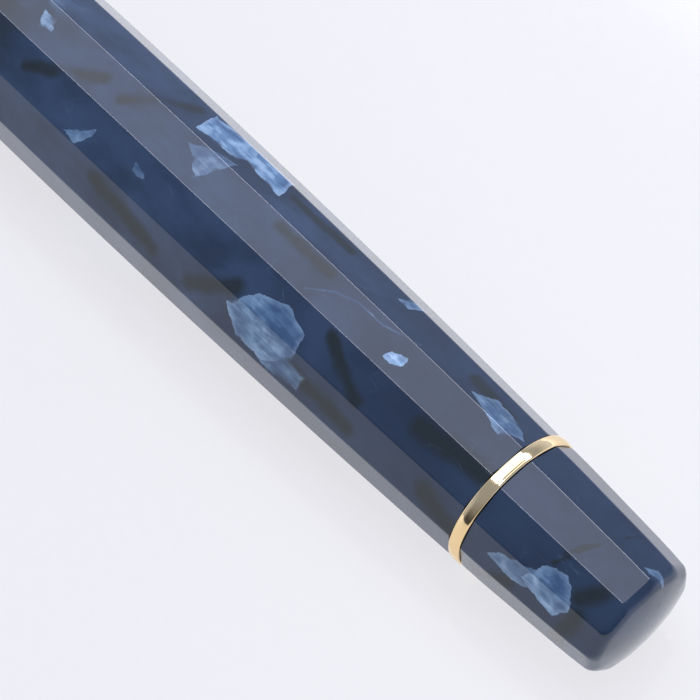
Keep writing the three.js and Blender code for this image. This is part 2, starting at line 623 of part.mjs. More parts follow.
function makeClipCollar() {
  const washer = tube(COLLAR_START, COLLAR_END, CAP_END_CORNER * FLAT - FACE_GAP, STUD_RADIUS + GLUE_FIT);
  return washer.add(block(COLLAR_START, COLLAR_END, CLIP_WIDTH / 2, STUD_RADIUS + 1, lugTop));
}

// Clip arm: bowed strip from above the lug to the roller, ending in a fork.
const rollerX = COLLAR_START + CLIP_REACH;
const rollerZ = capCorner(rollerX) * FLAT + ROLLER_RADIUS + FACE_GAP / 2;
const armRoot = lugTop + FACE_GAP / 2;

function makeClipArm() {
  const side = new THREE.Shape();
  const over = rollerZ + CHEEK_RADIUS;
  side.moveTo(COLLAR_END, armRoot);
  side.lineTo(COLLAR_START, armRoot);
  const middle = (COLLAR_START + rollerX) / 2;
  const forkStart = rollerX - CLIP_FORK;
  side.quadraticCurveTo(middle, armRoot + 2 * CLIP_ARCH, forkStart, over - CLIP_THICKNESS);
  side.lineTo(rollerX - CHEEK_RADIUS, rollerZ);
  side.absarc(rollerX, rollerZ, CHEEK_RADIUS, Math.PI, 2.5 * Math.PI, false);
  const back = armRoot + CLIP_THICKNESS;
  side.quadraticCurveTo(middle, back + 2 * CLIP_ARCH, COLLAR_END, back);
  side.closePath();
  const options = { depth: CLIP_WIDTH, bevelEnabled: false, curveSegments: LONG_STEPS };
  const strip = new THREE.ExtrudeGeometry(side, options);
  strip.rotateX(Math.PI / 2);
  strip.translate(0, CLIP_WIDTH / 2, 0);
  const room = ROLLER_RADIUS + SLIDE_FIT;
  const slotHalf = ROLLER_WIDTH / 2 + SLIDE_FIT;
  const slot = block(rollerX - room, rollerX + room, slotHalf, rollerZ - room, rollerZ + room);
  const hole = crossRod(CLIP_WIDTH / 2 + 1, ROLLER_PIN_RADIUS + GLUE_FIT);
  return toSolid(strip).subtract(slot).subtract(hole);
}

// A rod across the pen, on the roller's axis.
function crossRod(halfLength, radius) {
  const geometry = new THREE.CylinderGeometry(radius, radius, 2 * halfLength, SMALL_SIDES);
  geometry.translate(rollerX, 0, rollerZ);
  return toSolid(geometry);
}

function makeRoller() {
  const bore = crossRod(ROLLER_WIDTH, ROLLER_PIN_RADIUS + SLIDE_FIT / 2);
  return crossRod(ROLLER_WIDTH / 2, ROLLER_RADIUS).subtract(bore);
}

// Barrel side
add(leaningGroup(BARREL_LEAN), "barrel", makeBarrel(), celluloid);
add(pen, "thread_collar", makeThreadCollar(), gold);
add(pen, "ink_window", tube(WINDOW_START - FACE_GAP, SECTION_START, THREAD_ROOT, CHAMBER), amber);
add(pen, "grip_section", makeSection(), celluloid);
const sectionRingStart = SECTION_END + SECTION_RING_WIDTH;
const sectionRing = ringOutline(sectionRingStart, SECTION_END, SECTION_FLARE, SECTION_SEAT + GLUE_FIT);
add(pen, "section_ring", turn(sectionRing), gold);
const housingEnd = SECTION_END + FACE_GAP;
const nibHousing = tube(HOUSING_START - FACE_GAP, housingEnd, HOUSING_OUTER, NIB_RADIUS + SLIDE_FIT / 2);
add(pen, "nib_housing", nibHousing, brass);
add(pen, "feed", makeFeed(), ebonite);
add(pen, "nib", makeNib(), gold);
add(pen, "nib_tipping", makeTipBead(), steel);
const tailRing = ringOutline(TAIL_RING_START, TAIL_RING_END, TAIL_RADIUS + RING_PROUD, TAIL_BORE);
add(pen, "tail_ring", turn(tailRing, 2 * ROUND_SIDES), gold);
add(pen, "piston_housing", makePistonHousing(), brass);
const retainerEnd = RETAINER_START + RETAINER_LENGTH;
const retainer = tube(RETAINER_START, retainerEnd, RETAINER_OUTER, SPINDLE_OUTER + SLIDE_FIT);
add(pen, "spindle_retainer", retainer, brass);

// Filling knob and piston
add(leaningGroup(KNOB_LEAN), "piston_knob", makeKnob(), celluloid);
add(pen, "knob_spindle", makeSpindle(), brass);
add(pen, "piston_rod", flattedRod(PISTON_REAR - ROD_SOCKET + 2 * FACE_GAP, ROD_END, 0), steel);
const pistonCore = CHAMBER - CORE_TO_CHAMBER;
add(pen, "piston_head", makePistonHead(pistonCore), ebonite);
add(pen, "piston_seal", makeSeal(pistonCore), nylon);

// Cap side
add(pen, "cap_shell", makeCapShell(), celluloid);
add(pen, "cap_lip", makeBand(LIP_START, LIP_LENGTH, CAP_LIP_CORNER), celluloid);
const frontRing = LIP_END - FACE_GAP;
const wideBand = frontRing - BAND_RING_WIDTH - FACE_GAP;
const rearRing = wideBand - BAND_WIDTH - FACE_GAP;
add(pen, "band_ring_front", makeBand(frontRing, BAND_RING_WIDTH, BAND_CORNER), gold);
add(pen, "cap_band", makeBand(wideBand, BAND_WIDTH, BAND_CORNER), gold);
add(pen, "band_ring_rear", makeBand(rearRing, BAND_RING_WIDTH, BAND_CORNER), gold);
add(pen, "inner_cap", makeInnerCap(), ebonite);
add(pen, "inner_cap_spring", makeSpring(), steel);
add(pen, "spring_seat", tube(SEAT_FRONT, SEAT_BACK, CAP_BORE - SLIDE_FIT, STUD_RADIUS), nylon);
add(pen, "crown_stud", makeStud(), steel);
add(pen, "clip_collar", makeClipCollar(), gold);
const crownRingOuter = CAP_END_CORNER + RING_PROUD;
const crownRing = ringOutline(CROWN_RING_START, CROWN_RING_END, crownRingOuter, STUD_RADIUS + GLUE_FIT);
add(pen, "crown_ring", turn(crownRing, 2 * ROUND_SIDES), gold);
add(pen, "cap_crown", makeCrown(), celluloid);

// Clip
add(pen, "clip_arm", makeClipArm(), gold);
add(pen, "roller_pin", crossRod(CLIP_WIDTH / 2, ROLLER_PIN_RADIUS), steel);
add(pen, "clip_roller", makeRoller(), gold);

pen.position.set(-MIDDLE, 0, AXIS_HEIGHT);

const fountainPen = new THREE.Group();
fountainPen.add(pen);
export default fountainPen;
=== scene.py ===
# %% [markdown]
# # A twelve-sided fountain pen in marbled celluloid
#
# The real pen is turned from rods of blue celluloid, milled with twelve flats, and polished. The frame
# holds the plain working solids: where each one is, how large it is and what it turns on. This script
# builds the fine surfaces round that frame, one piece for each solid, and gives them their finishes.
# %% Load the frame
import json
import math

import bmesh
import bpy
import numpy as np
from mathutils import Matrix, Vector


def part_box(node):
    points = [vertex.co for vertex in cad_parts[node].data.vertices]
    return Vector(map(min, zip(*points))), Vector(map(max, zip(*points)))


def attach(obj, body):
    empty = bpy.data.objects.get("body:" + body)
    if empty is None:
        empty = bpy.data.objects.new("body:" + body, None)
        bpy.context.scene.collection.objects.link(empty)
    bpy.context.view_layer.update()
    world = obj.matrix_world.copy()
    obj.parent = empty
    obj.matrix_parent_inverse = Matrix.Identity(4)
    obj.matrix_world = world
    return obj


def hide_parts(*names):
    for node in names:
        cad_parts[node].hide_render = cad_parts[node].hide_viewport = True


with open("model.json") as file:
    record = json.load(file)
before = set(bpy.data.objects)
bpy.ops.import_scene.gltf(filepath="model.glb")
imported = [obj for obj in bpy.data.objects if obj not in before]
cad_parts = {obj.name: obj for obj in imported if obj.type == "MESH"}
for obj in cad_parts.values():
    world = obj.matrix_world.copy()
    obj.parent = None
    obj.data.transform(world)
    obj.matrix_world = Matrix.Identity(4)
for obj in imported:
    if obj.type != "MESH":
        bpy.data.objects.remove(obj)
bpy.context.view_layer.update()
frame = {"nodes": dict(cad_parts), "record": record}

# %% [markdown]
# ## Where things are
#
# Every place comes from the frame. The pen's axis is level and runs along X, through the middle of the
# trim ring at the tail. A solid's box gives where it starts and ends, and the distances of its corners
# from the axis give its radii, so no size is typed twice.
# %% Read sizes from the frame
MM = 0.001
SAME_PLACE = 0.02 * MM
ring_low, ring_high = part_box("tail_ring")
AXIS_Z = (ring_low.z + ring_high.z) / 2


def span(node):
    """Where a node starts and ends along the pen, in metres."""
    low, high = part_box(node)
    return low.x, high.x


def corners(node):
    """Each corner of a node as (place along the pen, distance from the axis)."""
    points = np.array([v.co for v in frame["nodes"][node].data.vertices])
    return np.column_stack([points[:, 0], np.hypot(points[:, 1], points[:, 2] - AXIS_Z)])


def inner(node):
    return corners(node)[:, 1].min()


def outer(node):
    return corners(node)[:, 1].max()


def radii_at(node, x):
    """The radii that a node has at one end or step, from the smallest."""
    near = corners(node)
    found = near[abs(near[:, 0] - x) < SAME_PLACE][:, 1]
    return sorted(set(np.round(found, 6)))


print(f"axis {AXIS_Z / MM:.3f} mm up, tail ring {outer('tail_ring') / MM:.2f} mm in radius")

# %% [markdown]
# ## Camera
#
# The pen is seen from above its tail, a little to the side, so that it crosses the picture from one
# corner to the other with the knob nearest. A long lens keeps the flats nearly parallel. The ring's
# front face is the point that the framing is measured from: it lies right of the middle and below it,
# given here as slopes from the lens's axis.
# %% Set the camera
AZIMUTH = math.radians(47.3)
ELEVATION = math.radians(60.2)
LENS = 143
DISTANCE = 195 * MM
RING_RIGHT = 0.0561
RING_DOWN = 0.0525
SENSOR_WIDTH = 36
NEAREST_SEEN = 10 * MM

back = Vector((math.sin(AZIMUTH) * math.cos(ELEVATION), -math.cos(AZIMUTH) * math.cos(ELEVATION),
               math.sin(ELEVATION)))
right = Vector((0, 0, 1)).cross(back).normalized()
above = back.cross(right)
ring_face = Vector((ring_low.x, 0, AXIS_Z))

lens = bpy.data.cameras.new("camera")
lens.lens = LENS
lens.sensor_width = SENSOR_WIDTH
lens.clip_start = NEAREST_SEEN
camera = bpy.data.objects.new("camera", lens)
bpy.context.scene.collection.objects.link(camera)
camera.location = ring_face + DISTANCE * (back - RING_RIGHT * right + RING_DOWN * above)
camera.rotation_mode = "QUATERNION"
camera.rotation_quaternion = back.to_track_quat("Z", "Y")
bpy.context.scene.camera = camera
print("camera at", [round(v, 3) for v in camera.location])

# %% [markdown]
# ## Floor
#
# The pen lies on a sheet of white gloss acrylic. It rests on two places, the cap band's lowest flat and
# the tail ring, and the frame keeps the axis level, so the floor is the surface that tips: by the slope
# between those two. A wide plane is enough. Its finish is a white body under a thin clear gloss.
# %% Lay the floor
FLOOR_REACH = 3.0
band_low, band_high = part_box("band_ring_front")
slope = (ring_low.z - band_low.z) / (ring_high.x - band_high.x)


def floor_height(x):
    return band_low.z + slope * (x - band_high.x)


floor_mesh = bpy.data.meshes.new("floor")
signs = ((-1, -1), (1, -1), (1, 1), (-1, 1))
floor_corners = [(x * FLOOR_REACH, y * FLOOR_REACH, floor_height(x * FLOOR_REACH)) for x, y in signs]
floor_mesh.from_pydata(floor_corners, [], [(0, 1, 2, 3)])
floor = bpy.data.objects.new("floor", floor_mesh)
bpy.context.scene.collection.objects.link(floor)
print(f"floor tips {math.degrees(math.atan(slope)):.2f} degrees")

# %% [markdown]
# ## Turning points and faces into a piece
#
# A piece starts as a list of points and a list of faces. Blender could build it with edit-mode tools, but
# a list in code can follow the frame's sizes. Its faces are turned to look outwards, and edges sharper
# than a limit stay crisp when the surface is shaded smooth.
# %% Make an object
SHARP = math.radians(40)


def make_object(name, points, faces, sharp=SHARP):
    mesh = bpy.data.meshes.new(name)
    mesh.from_pydata([tuple(p) for p in points], [], faces)
    mesh.validate()
    work = bmesh.new()
    work.from_mesh(mesh)
    bmesh.ops.recalc_face_normals(work, faces=work.faces)
    work.to_mesh(mesh)
    work.free()
    mesh.shade_smooth()
    mesh.set_sharp_from_angle(angle=sharp)
    piece = bpy.data.objects.new(name, mesh)
    bpy.context.scene.collection.objects.link(piece)
    return piece


print(f"edges over {math.degrees(SHARP):.0f} degrees stay sharp")

# %% [markdown]
# ## Skinning rings of points
#
# Nearly every piece is a run of rings along the pen: a ring has the same number of points as its
# neighbour, and quads join them. A ring of one point closes an end. This one routine makes turned parts,
# faceted parts and threads, and it keeps them closed, as real solids are.
# %% Skin rings into a mesh
SIDES = 144


def skin(rings, loop=False):
    """Points and faces of a surface through rings of points. loop joins the last ring to the first."""
    starts = np.cumsum([0] + [len(ring) for ring in rings])
    pairs = [(i, i + 1) for i in range(len(rings) - 1)]
    if loop:
        pairs.append((len(rings) - 1, 0))
    faces = []
    for a, b in pairs:
        count_a, count_b = len(rings[a]), len(rings[b])
        for i in range(max(count_a, count_b)):
            j = (i + 1) % max(count_a, count_b)
            here = [starts[a] + i % count_a, starts[a] + j % count_a]
            there = [starts[b] + j % count_b, starts[b] + i % count_b]
            face = here + there
            faces.append(tuple(dict.fromkeys(int(v) for v in face)))
    return np.concatenate(rings), faces


def ring_points(x, angles, radii):
    """Points round the axis at x. Angle 0 is straight up, and angles grow towards +Y."""
    count = max(np.size(angles), np.size(radii))
    xs = np.broadcast_to(x, count)
    radii = np.broadcast_to(radii, count)
    return np.column_stack([xs, radii * np.sin(angles), AXIS_Z + radii * np.cos(angles)])


print(SIDES, "points go round a turned piece")

# %% [markdown]
# ## Turned pieces
#
# Rings, tubes, the grip and the piston are lathe work: an outline of places and radii, turned about the
# axis. A real lathe part has no perfectly sharp edge, so each outline point may carry a rounding, and the
# corner there is replaced by a short curve.
# %% Round the corners of an outline
ROUND_STEPS = 4
CORNER_SHARE = 0.45


def rounded(outline, closed=True):
    """Replaces the corners of an outline of (x, radius, rounding) by curves. All in metres."""
    result = []
    count = len(outline)
    for i, (x, r, rounding) in enumerate(outline):
        here = np.array([x, r])
        if rounding == 0 or (not closed and i in (0, count - 1)):
            result.append(here)
            continue
        before = np.array(outline[i - 1][:2]) - here
        after = np.array(outline[(i + 1) % count][:2]) - here
        room = CORNER_SHARE * min(np.linalg.norm(before), np.linalg.norm(after))
        trim = min(rounding, room)
        start = here + before / np.linalg.norm(before) * trim
        end = here + after / np.linalg.norm(after) * trim
        for step in range(ROUND_STEPS + 1):
            t = step / ROUND_STEPS
            result.append((1 - t) ** 2 * start + 2 * t * (1 - t) * here + t ** 2 * end)
    return result


TURN = np.linspace(0, 2 * math.pi, SIDES, endpoint=False)
TINY = 1e-9


def turned(outline, closed=True, angles=TURN):
    """Rings of a turned piece. A closed outline is a tube's section; an open one ends on the axis."""
    rings = []
    for x, r in rounded(outline, closed):
        if r < TINY:
            rings.append(ring_points(x, np.zeros(1), np.zeros(1)))
        else:
            rings.append(ring_points(x, angles, r))
    return skin(rings, loop=closed)


print("a rounded corner has", ROUND_STEPS + 1, "points")

# %% [markdown]
# ## Faceted pieces
#
# The barrel, knob, cap and crown are twelve-sided. After milling, the flats meet in crisp edges, and the
# polishing wheel takes those edges down to a fine round that catches the light as a thin bright line. So
# a section here is not a plain twelve-gon: each corner is an arc of a third of a millimetre, with points
# gathered where the flat turns into the arc.
# %% Make a twelve-sided section
FACETS = 12
HALF = math.pi / FACETS
EDGE = 0.36 * MM
FLAT_PLACES = (-1, -0.97, -0.86, -0.7, -0.5, -0.25, 0, 0.25, 0.5, 0.7, 0.86, 0.97, 1)
ARC_PLACES = (-2 / 3, -1 / 3, 0, 1 / 3, 2 / 3)
BLEND = 0.03 * MM


def section(corner, edge):
    """Angles and radii round a twelve-sided section: corner is its radius before rounding by edge."""
    flat = corner * math.cos(HALF)
    edge = min(edge, 0.999 * flat)
    reach = (flat - edge) * math.tan(HALF)
    centre = (flat - edge) / math.cos(HALF)
    angles, radii = [], []
    for k in range(FACETS):
        for place in FLAT_PLACES:
            angles.append(2 * HALF * k + math.atan2(place * reach, flat))
            radii.append(math.hypot(place * reach, flat))
        for place in ARC_PLACES:
            along = centre + edge * math.cos(place * HALF)
            across = edge * math.sin(place * HALF)
            angles.append(2 * HALF * k + HALF + math.atan2(across, along))
            radii.append(math.hypot(across, along))
    return np.array(angles), np.array(radii)


print("a section has", FACETS * (len(FLAT_PLACES) + len(ARC_PLACES)), "points")

# %% [markdown]
# Near an end the whole section is also kept inside a turned rounding, which is what gives the flats
# their softly curved starts. A plain minimum of the two radii would leave a hard line where they meet,
# so the change from one to the other is rounded over.
# %% Keep a section inside a turned limit
END_STEPS = 14


def lower(a, b, blend=BLEND):
    """The smaller of two radii, with the change from one to the other rounded over."""
    near = np.clip(blend - abs(a - b), 0, None) / blend
    return np.minimum(a, b) - near * near * blend / 4


def faceted(rows, lean=0.0):
    """Rings of a faceted piece from rows of (x, corner radius, turned limit, edge rounding)."""
    rings = []
    for x, corner, limit, edge in rows:
        angles, radii = section(corner, edge)
        if limit < TINY:
            rings.append(ring_points(x, np.zeros(1), np.zeros(1)))
        else:
            rings.append(ring_points(x, angles - lean, lower(radii, limit)))
    return rings


def end_steps(length, depth):
    """Distances from an end and how far below full size the turned rounding is there."""
    steps = []
    for i in range(END_STEPS + 1):
        angle = i / END_STEPS * math.pi / 2
        steps.append((length * (1 - math.cos(angle)), depth * (1 - math.sin(angle))))
    return steps


print("an end is rounded in", END_STEPS, "steps")

# %% [markdown]
# The frame's solids follow the pen's long curves in a few straight steps. A smooth curve through their
# corners gives back the shape that a maker's lathe would cut. The inner bores and the two end faces are
# left out of it.
# %% Put a smooth curve through a solid's corners
END_GAP = 1e-6
OUTSIDE_SHARE = 0.8


def profile(node, degree):
    """A smooth curve through a faceted node's corners, leaving out its two end faces."""
    points = corners(node)
    first, last = points[:, 0].min(), points[:, 0].max()
    places = sorted(set(np.round(points[:, 0], 7)))
    places = [x for x in places if first + END_GAP < x < last - END_GAP]
    tops = [points[abs(points[:, 0] - x) < END_GAP][:, 1].max() for x in places]
    places, tops = np.array(places), np.array(tops)
    outside = tops > OUTSIDE_SHARE * tops.max()
    middle = (first + last) / 2
    curve = np.polyfit(places[outside] - middle, tops[outside], degree)
    return lambda x: float(np.polyval(curve, x - middle))


BARREL_DEGREE = 2
KNOB_DEGREE = 4
barrel_shape = profile("barrel", BARREL_DEGREE)
knob_shape = profile("piston_knob", KNOB_DEGREE)
print(f"barrel corners stand {barrel_shape(ring_low.x) / MM:.2f} mm out at the tail")

# %% [markdown]
# The barrel's flats and the knob's flats are each a few degrees out of line with the cap's, towards the
# near side. The lean of a faceted solid is read from the frame: it is the angle of one of its corners,
# measured from where an even twelve-sided form would have one.
# %% Read how far faceted pieces lean
CORNER_LEVEL = 0.98


def lean_of(node):
    points = np.array([v.co for v in frame["nodes"][node].data.vertices])
    radii = np.hypot(points[:, 1], points[:, 2] - AXIS_Z)
    y, z = points[radii > CORNER_LEVEL * radii.max()][0][1:]
    angle = math.atan2(-y, z - AXIS_Z)
    return angle % (2 * HALF) - HALF


BARREL_LEAN = lean_of("barrel")
KNOB_LEAN = lean_of("piston_knob")
print(f"barrel leans {math.degrees(BARREL_LEAN):.2f}, knob {math.degrees(KNOB_LEAN):.2f} degrees")

# %% [markdown]
# ## Putting a piece in the frame
#
# Each piece stands for one solid of the frame: it rides on the body that the solid belongs to, takes
# the finish that it is given, and hides the solid.
# %% Fit pieces to the frame
BODY_OF = {node: body for body, nodes in frame["record"]["behaviour"]["bodies"].items() for node in nodes}
made = {}


def fit(node, shape, finish, sharp=SHARP):
    """Makes the piece that stands for a node, from points and faces or from a finished object."""
    if isinstance(shape, tuple):
        shape = make_object(node + "_piece", *shape, sharp)
    shape.name = node + "_piece"
    shape.data.materials.clear()
    shape.data.materials.append(finish)
    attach(shape, BODY_OF[node])
    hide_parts(node)
    made[node] = shape
    print(f"{node}: {len(shape.data.vertices)} points")
    return shape


# %% [markdown]
# ## Writing finishes as expressions
#
# A finish here is a small sum: a mask times a colour, plus a bit of noise. Node trees for that are easier
# to read as arithmetic. Wire wraps one node output. Adding or multiplying wires adds Math nodes, and
# node() adds any other kind: its settings first, then the values or wires for its sockets.
# %% Wrap a shader socket
class Wire:
    def __init__(self, tree, socket=None):
        self.tree = tree
        self.socket = socket

    def node(self, kind, settings=None, inputs=None, output=0):
        made_node = self.tree.nodes.new(kind)
        for name, value in (settings or {}).items():
            setattr(made_node, name, value)
        for name, value in (inputs or {}).items():
            if isinstance(value, Wire):
                self.tree.links.new(value.socket, made_node.inputs[name])
            else:
                made_node.inputs[name].default_value = value
        return Wire(self.tree, made_node.outputs[output])

    def math(self, operation, *values, clamp=False):
        settings = {"operation": operation, "use_clamp": clamp}
        return self.node("ShaderNodeMath", settings, dict(enumerate(values)))

    def __add__(self, other):
        return self.math("ADD", self, other)

    def __radd__(self, other):
        return self.math("ADD", other, self)

    def __sub__(self, other):
        return self.math("SUBTRACT", self, other)

    def __rsub__(self, other):
        return self.math("SUBTRACT", other, self)

    def __mul__(self, other):
        return self.math("MULTIPLY", self, other)

    def __rmul__(self, other):
        return self.math("MULTIPLY", other, self)

    def least(self, other):
        return self.math("MINIMUM", self, other)

    def most(self, other):
        return self.math("MAXIMUM", self, other)

    def share(self, low, high):
        """0 below low, 1 above high, and a soft rise between."""
        settings = {"interpolation_type": "SMOOTHSTEP"}
        return self.node("ShaderNodeMapRange", settings, {"Value": self, "From Min": low, "From Max": high})

    def colour(self, first, second):
        """Mixes two colours: the first where this mask is 0, the second where it is 1."""
        settings = {"data_type": "RGBA"}
        return self.node("ShaderNodeMix", settings, {0: self, 6: first, 7: second}, output=2)

    def vector(self, operation, *values, output=0):
        return self.node("ShaderNodeVectorMath", {"operation": operation}, dict(enumerate(values)), output)

    def dot(self, direction):
        return self.vector("DOT_PRODUCT", self, direction, output=1)

    def stretched(self, scale):
        return self.vector("MULTIPLY", self, scale)

    def noise(self, scale, detail=2.0, output=0):
        sockets = {"Vector": self, "Scale": scale, "Detail": detail}
        return self.node("ShaderNodeTexNoise", None, sockets, output)

    def cells(self, scale, settings=None, output=0):
        return self.node("ShaderNodeTexVoronoi", settings, {"Vector": self, "Scale": scale}, output)


print("a wire takes part in sums with +, - and *")

# %% [markdown]
# Every finish begins with a material and the place on its surface, and ends with one Principled shader.
# The place is taken in the object's own metres, so a pattern keeps its true size on every piece.
# %% Open and close a finish
def start_finish(name):
    """A new material and the place on its surface, as a wire in metres."""
    material = bpy.data.materials.new(name)
    material.use_nodes = True
    material.node_tree.nodes.clear()
    place = Wire(material.node_tree).node("ShaderNodeTexCoord", output="Object")
    return material, place


def close_finish(material, place, inputs):
    """Gives the material a Principled shader with these sockets."""
    shader = place.node("ShaderNodeBsdfPrincipled", None, inputs)
    output = material.node_tree.nodes.new("ShaderNodeOutputMaterial")
    material.node_tree.links.new(shader.socket, output.inputs["Surface"])
    print(f"{material.name}: {len(material.node_tree.nodes)} nodes")
    return material

# %% [markdown]
# ## Gold, brass and steel
#
# The trim is gold plate polished on a wheel. Up close a polished metal still has the faintest marks
# round it and a slightly uneven sheen, which is what stops it looking like yellow glass. The working
# parts inside are plain turned brass and bright steel, with the lathe's rings left on them.
# %% Make the metals
def linear(red, green, blue):
    """A colour for a socket from the values a colour picker shows, 0 to 255."""
    def one(value):
        value /= 255
        return value / 12.92 if value <= 0.04045 else ((value + 0.055) / 1.055) ** 2.4
    return (one(red), one(green), one(blue), 1.0)


WAVE_DEPTH = 0.00006
WAVE_SCALE = 420.0
CLOUD_SCALE = 260.0
ROUND_TO_ALONG = 1 / 60


def metal(name, light, dark, roughness, rings, depth):
    """Turned metal: rings is how many marks there are in a metre along the pen."""
    material, place = start_finish(name)
    round_rings = rings * ROUND_TO_ALONG
    marks = place.stretched((rings, round_rings, round_rings)).noise(1.0, 3.0)
    cloud = place.noise(CLOUD_SCALE, 3.0)
    fine_bump = {"Strength": 0.35, "Distance": depth, "Height": marks}
    fine_marks = place.node("ShaderNodeBump", None, fine_bump)
    waves = place.noise(WAVE_SCALE, 1.0)
    wave_bump = {"Strength": 0.5, "Distance": WAVE_DEPTH, "Height": waves, "Normal": fine_marks}
    return close_finish(material, place, {
        "Base Color": cloud.share(0.35, 0.7).colour(dark, light), "Metallic": 1.0,
        "Roughness": roughness * (0.7 + 0.6 * cloud),
        "Normal": place.node("ShaderNodeBump", None, wave_bump)})


gold = metal("polished gold", linear(253, 226, 178), linear(247, 214, 158), 0.08, 30000, 0.0000008)
brass = metal("turned brass", linear(214, 178, 110), linear(186, 148, 84), 0.24, 9000, 0.000004)
steel = metal("bright steel", linear(206, 208, 212), linear(176, 178, 184), 0.18, 12000, 0.000003)

# %% [markdown]
# ## Hard rubber, nylon and amber
#
# The feed and the piston head are black hard rubber, which is never quite glossy: it has a fine satin
# grain. The seal and the spring's washer are white nylon. The ink window is a ring of clear amber
# celluloid, so its colour is in its depth and light passes through it.
# %% Make the dark, white and clear plastics
GRAIN_SCALE = 9000.0
PATCH_SCALE = 400.0


def satin(name, light, dark, roughness, depth):
    material, place = start_finish(name)
    grain = place.noise(GRAIN_SCALE, 3.0)
    cloud = place.noise(PATCH_SCALE, 2.0)
    bump = {"Strength": 0.5, "Distance": depth, "Height": grain}
    return close_finish(material, place, {
        "Base Color": cloud.share(0.3, 0.7).colour(dark, light),
        "Roughness": roughness * (0.85 + 0.3 * grain),
        "Normal": place.node("ShaderNodeBump", None, bump)})


ebonite = satin("black hard rubber", (0.016, 0.016, 0.019, 1), (0.009, 0.009, 0.011, 1), 0.42, 0.000006)
nylon = satin("white nylon", (0.78, 0.77, 0.72, 1), (0.7, 0.69, 0.64, 1), 0.4, 0.000004)

amber, place = start_finish("clear amber")
streaks = place.stretched((300, 900, 900)).noise(1.0, 3.0)
close_finish(amber, place, {
    "Base Color": streaks.share(0.3, 0.75).colour((0.30, 0.10, 0.015, 1), (0.62, 0.27, 0.05, 1)),
    "Roughness": 0.03 + 0.05 * streaks, "Transmission Weight": 0.45, "IOR": 1.5})

# %% [markdown]
# ## White acrylic
#
# The sheet that the pen lies on is lit from below as well as from above, the usual way to lose a hard
# shadow on a small shiny thing. So its finish has a glow of its own under the gloss, and its white body
# only answers for part of its brightness. The light below falls off a little to one side.
# %% Finish the floor
BACKLIGHT_FROM = -45 * MM
BACKLIGHT_TO = 30 * MM
GLOW = 0.74
acrylic, place = start_finish("white acrylic")
dust = place.noise(900.0, 2.0)
across_view = place.dot(tuple(right)) - ring_face.dot(right)
glow_share = across_view.share(BACKLIGHT_FROM, BACKLIGHT_TO)
close_finish(acrylic, place, {
    "Base Color": dust.share(0.2, 0.8).colour((0.235, 0.233, 0.24, 1), (0.245, 0.243, 0.25, 1)),
    "Roughness": 0.09 + 0.03 * dust, "Specular IOR Level": 0.14,
    "Emission Color": glow_share.colour((0.945, 0.935, 0.96, 1), (1.0, 0.99, 1.015, 1)),
    "Emission Strength": GLOW})
floor.data.materials.append(acrylic)

# %% [markdown]
# ## Marbled celluloid
#
# Celluloid of this kind is pressed from offcuts: chips of pearly blue sheet, thin dark films and clear
# deep blue dough, all squeezed together and polished through. A picture wrapped round the pen would
# stretch and show a seam. So the pattern here is solid: it is worked out in three dimensions at each
# point of the surface, as if the pen had really been cut from the block.
#
# The larger chips and strokes near the tail are placed one by one, and the rest of the block is filled
# with chance ones. A chip is a flat-sided slab: what lies on the inner side of a few planes. A stroke is
# a line with a soft width. Both are given on a flat of the pen, and then stand in the solid block.
# %% Place points, chips and strokes in the block
TAIL = ring_low.x
CHIP_DEPTH = 1.1 * MM


def on_flat(shape, flat_angle, lean, along, across):
    """The point of a flat that lies along the pen at x and across millimetres from its middle line.
    flat_angle is degrees from straight up towards -Y."""
    angle = math.radians(flat_angle) + lean
    flat = shape(along) * math.cos(HALF)
    outwards = Vector((0, -math.sin(angle), math.cos(angle)))
    sideways = Vector((0, -math.cos(angle), -math.sin(angle)))
    return Vector((along, 0, AXIS_Z)) + flat * outwards + across * MM * sideways, outwards


def slab(shape, way, lean, flat_angle, outline):
    """Planes round a chip whose outline on a flat is given as (mm from the ring, mm across)."""
    spots = [on_flat(shape, flat_angle, lean, TAIL + way * a * MM, s) for a, s in outline]
    outwards = spots[0][1]
    middle = sum((p for p, _ in spots), Vector()) / len(spots)
    planes = [(outwards, middle.dot(outwards) - CHIP_DEPTH)]
    for i, (point, _) in enumerate(spots):
        edge = spots[(i + 1) % len(spots)][0] - point
        normal = edge.cross(outwards).normalized()
        if normal.dot(middle - point) < 0:
            normal = -normal
        planes.append((normal, point.dot(normal)))
    return planes


def stroke(shape, way, lean, start, end, width):
    """A capsule from one place to another. Places are (flat angle, mm from the ring, mm across)."""
    ends = [on_flat(shape, f, lean, TAIL + way * a * MM, s)[0] for f, a, s in (start, end)]
    return ends[0], ends[1], width * MM


print("the block is laid out from", round(TAIL / MM, 2), "mm, the tail ring's front")

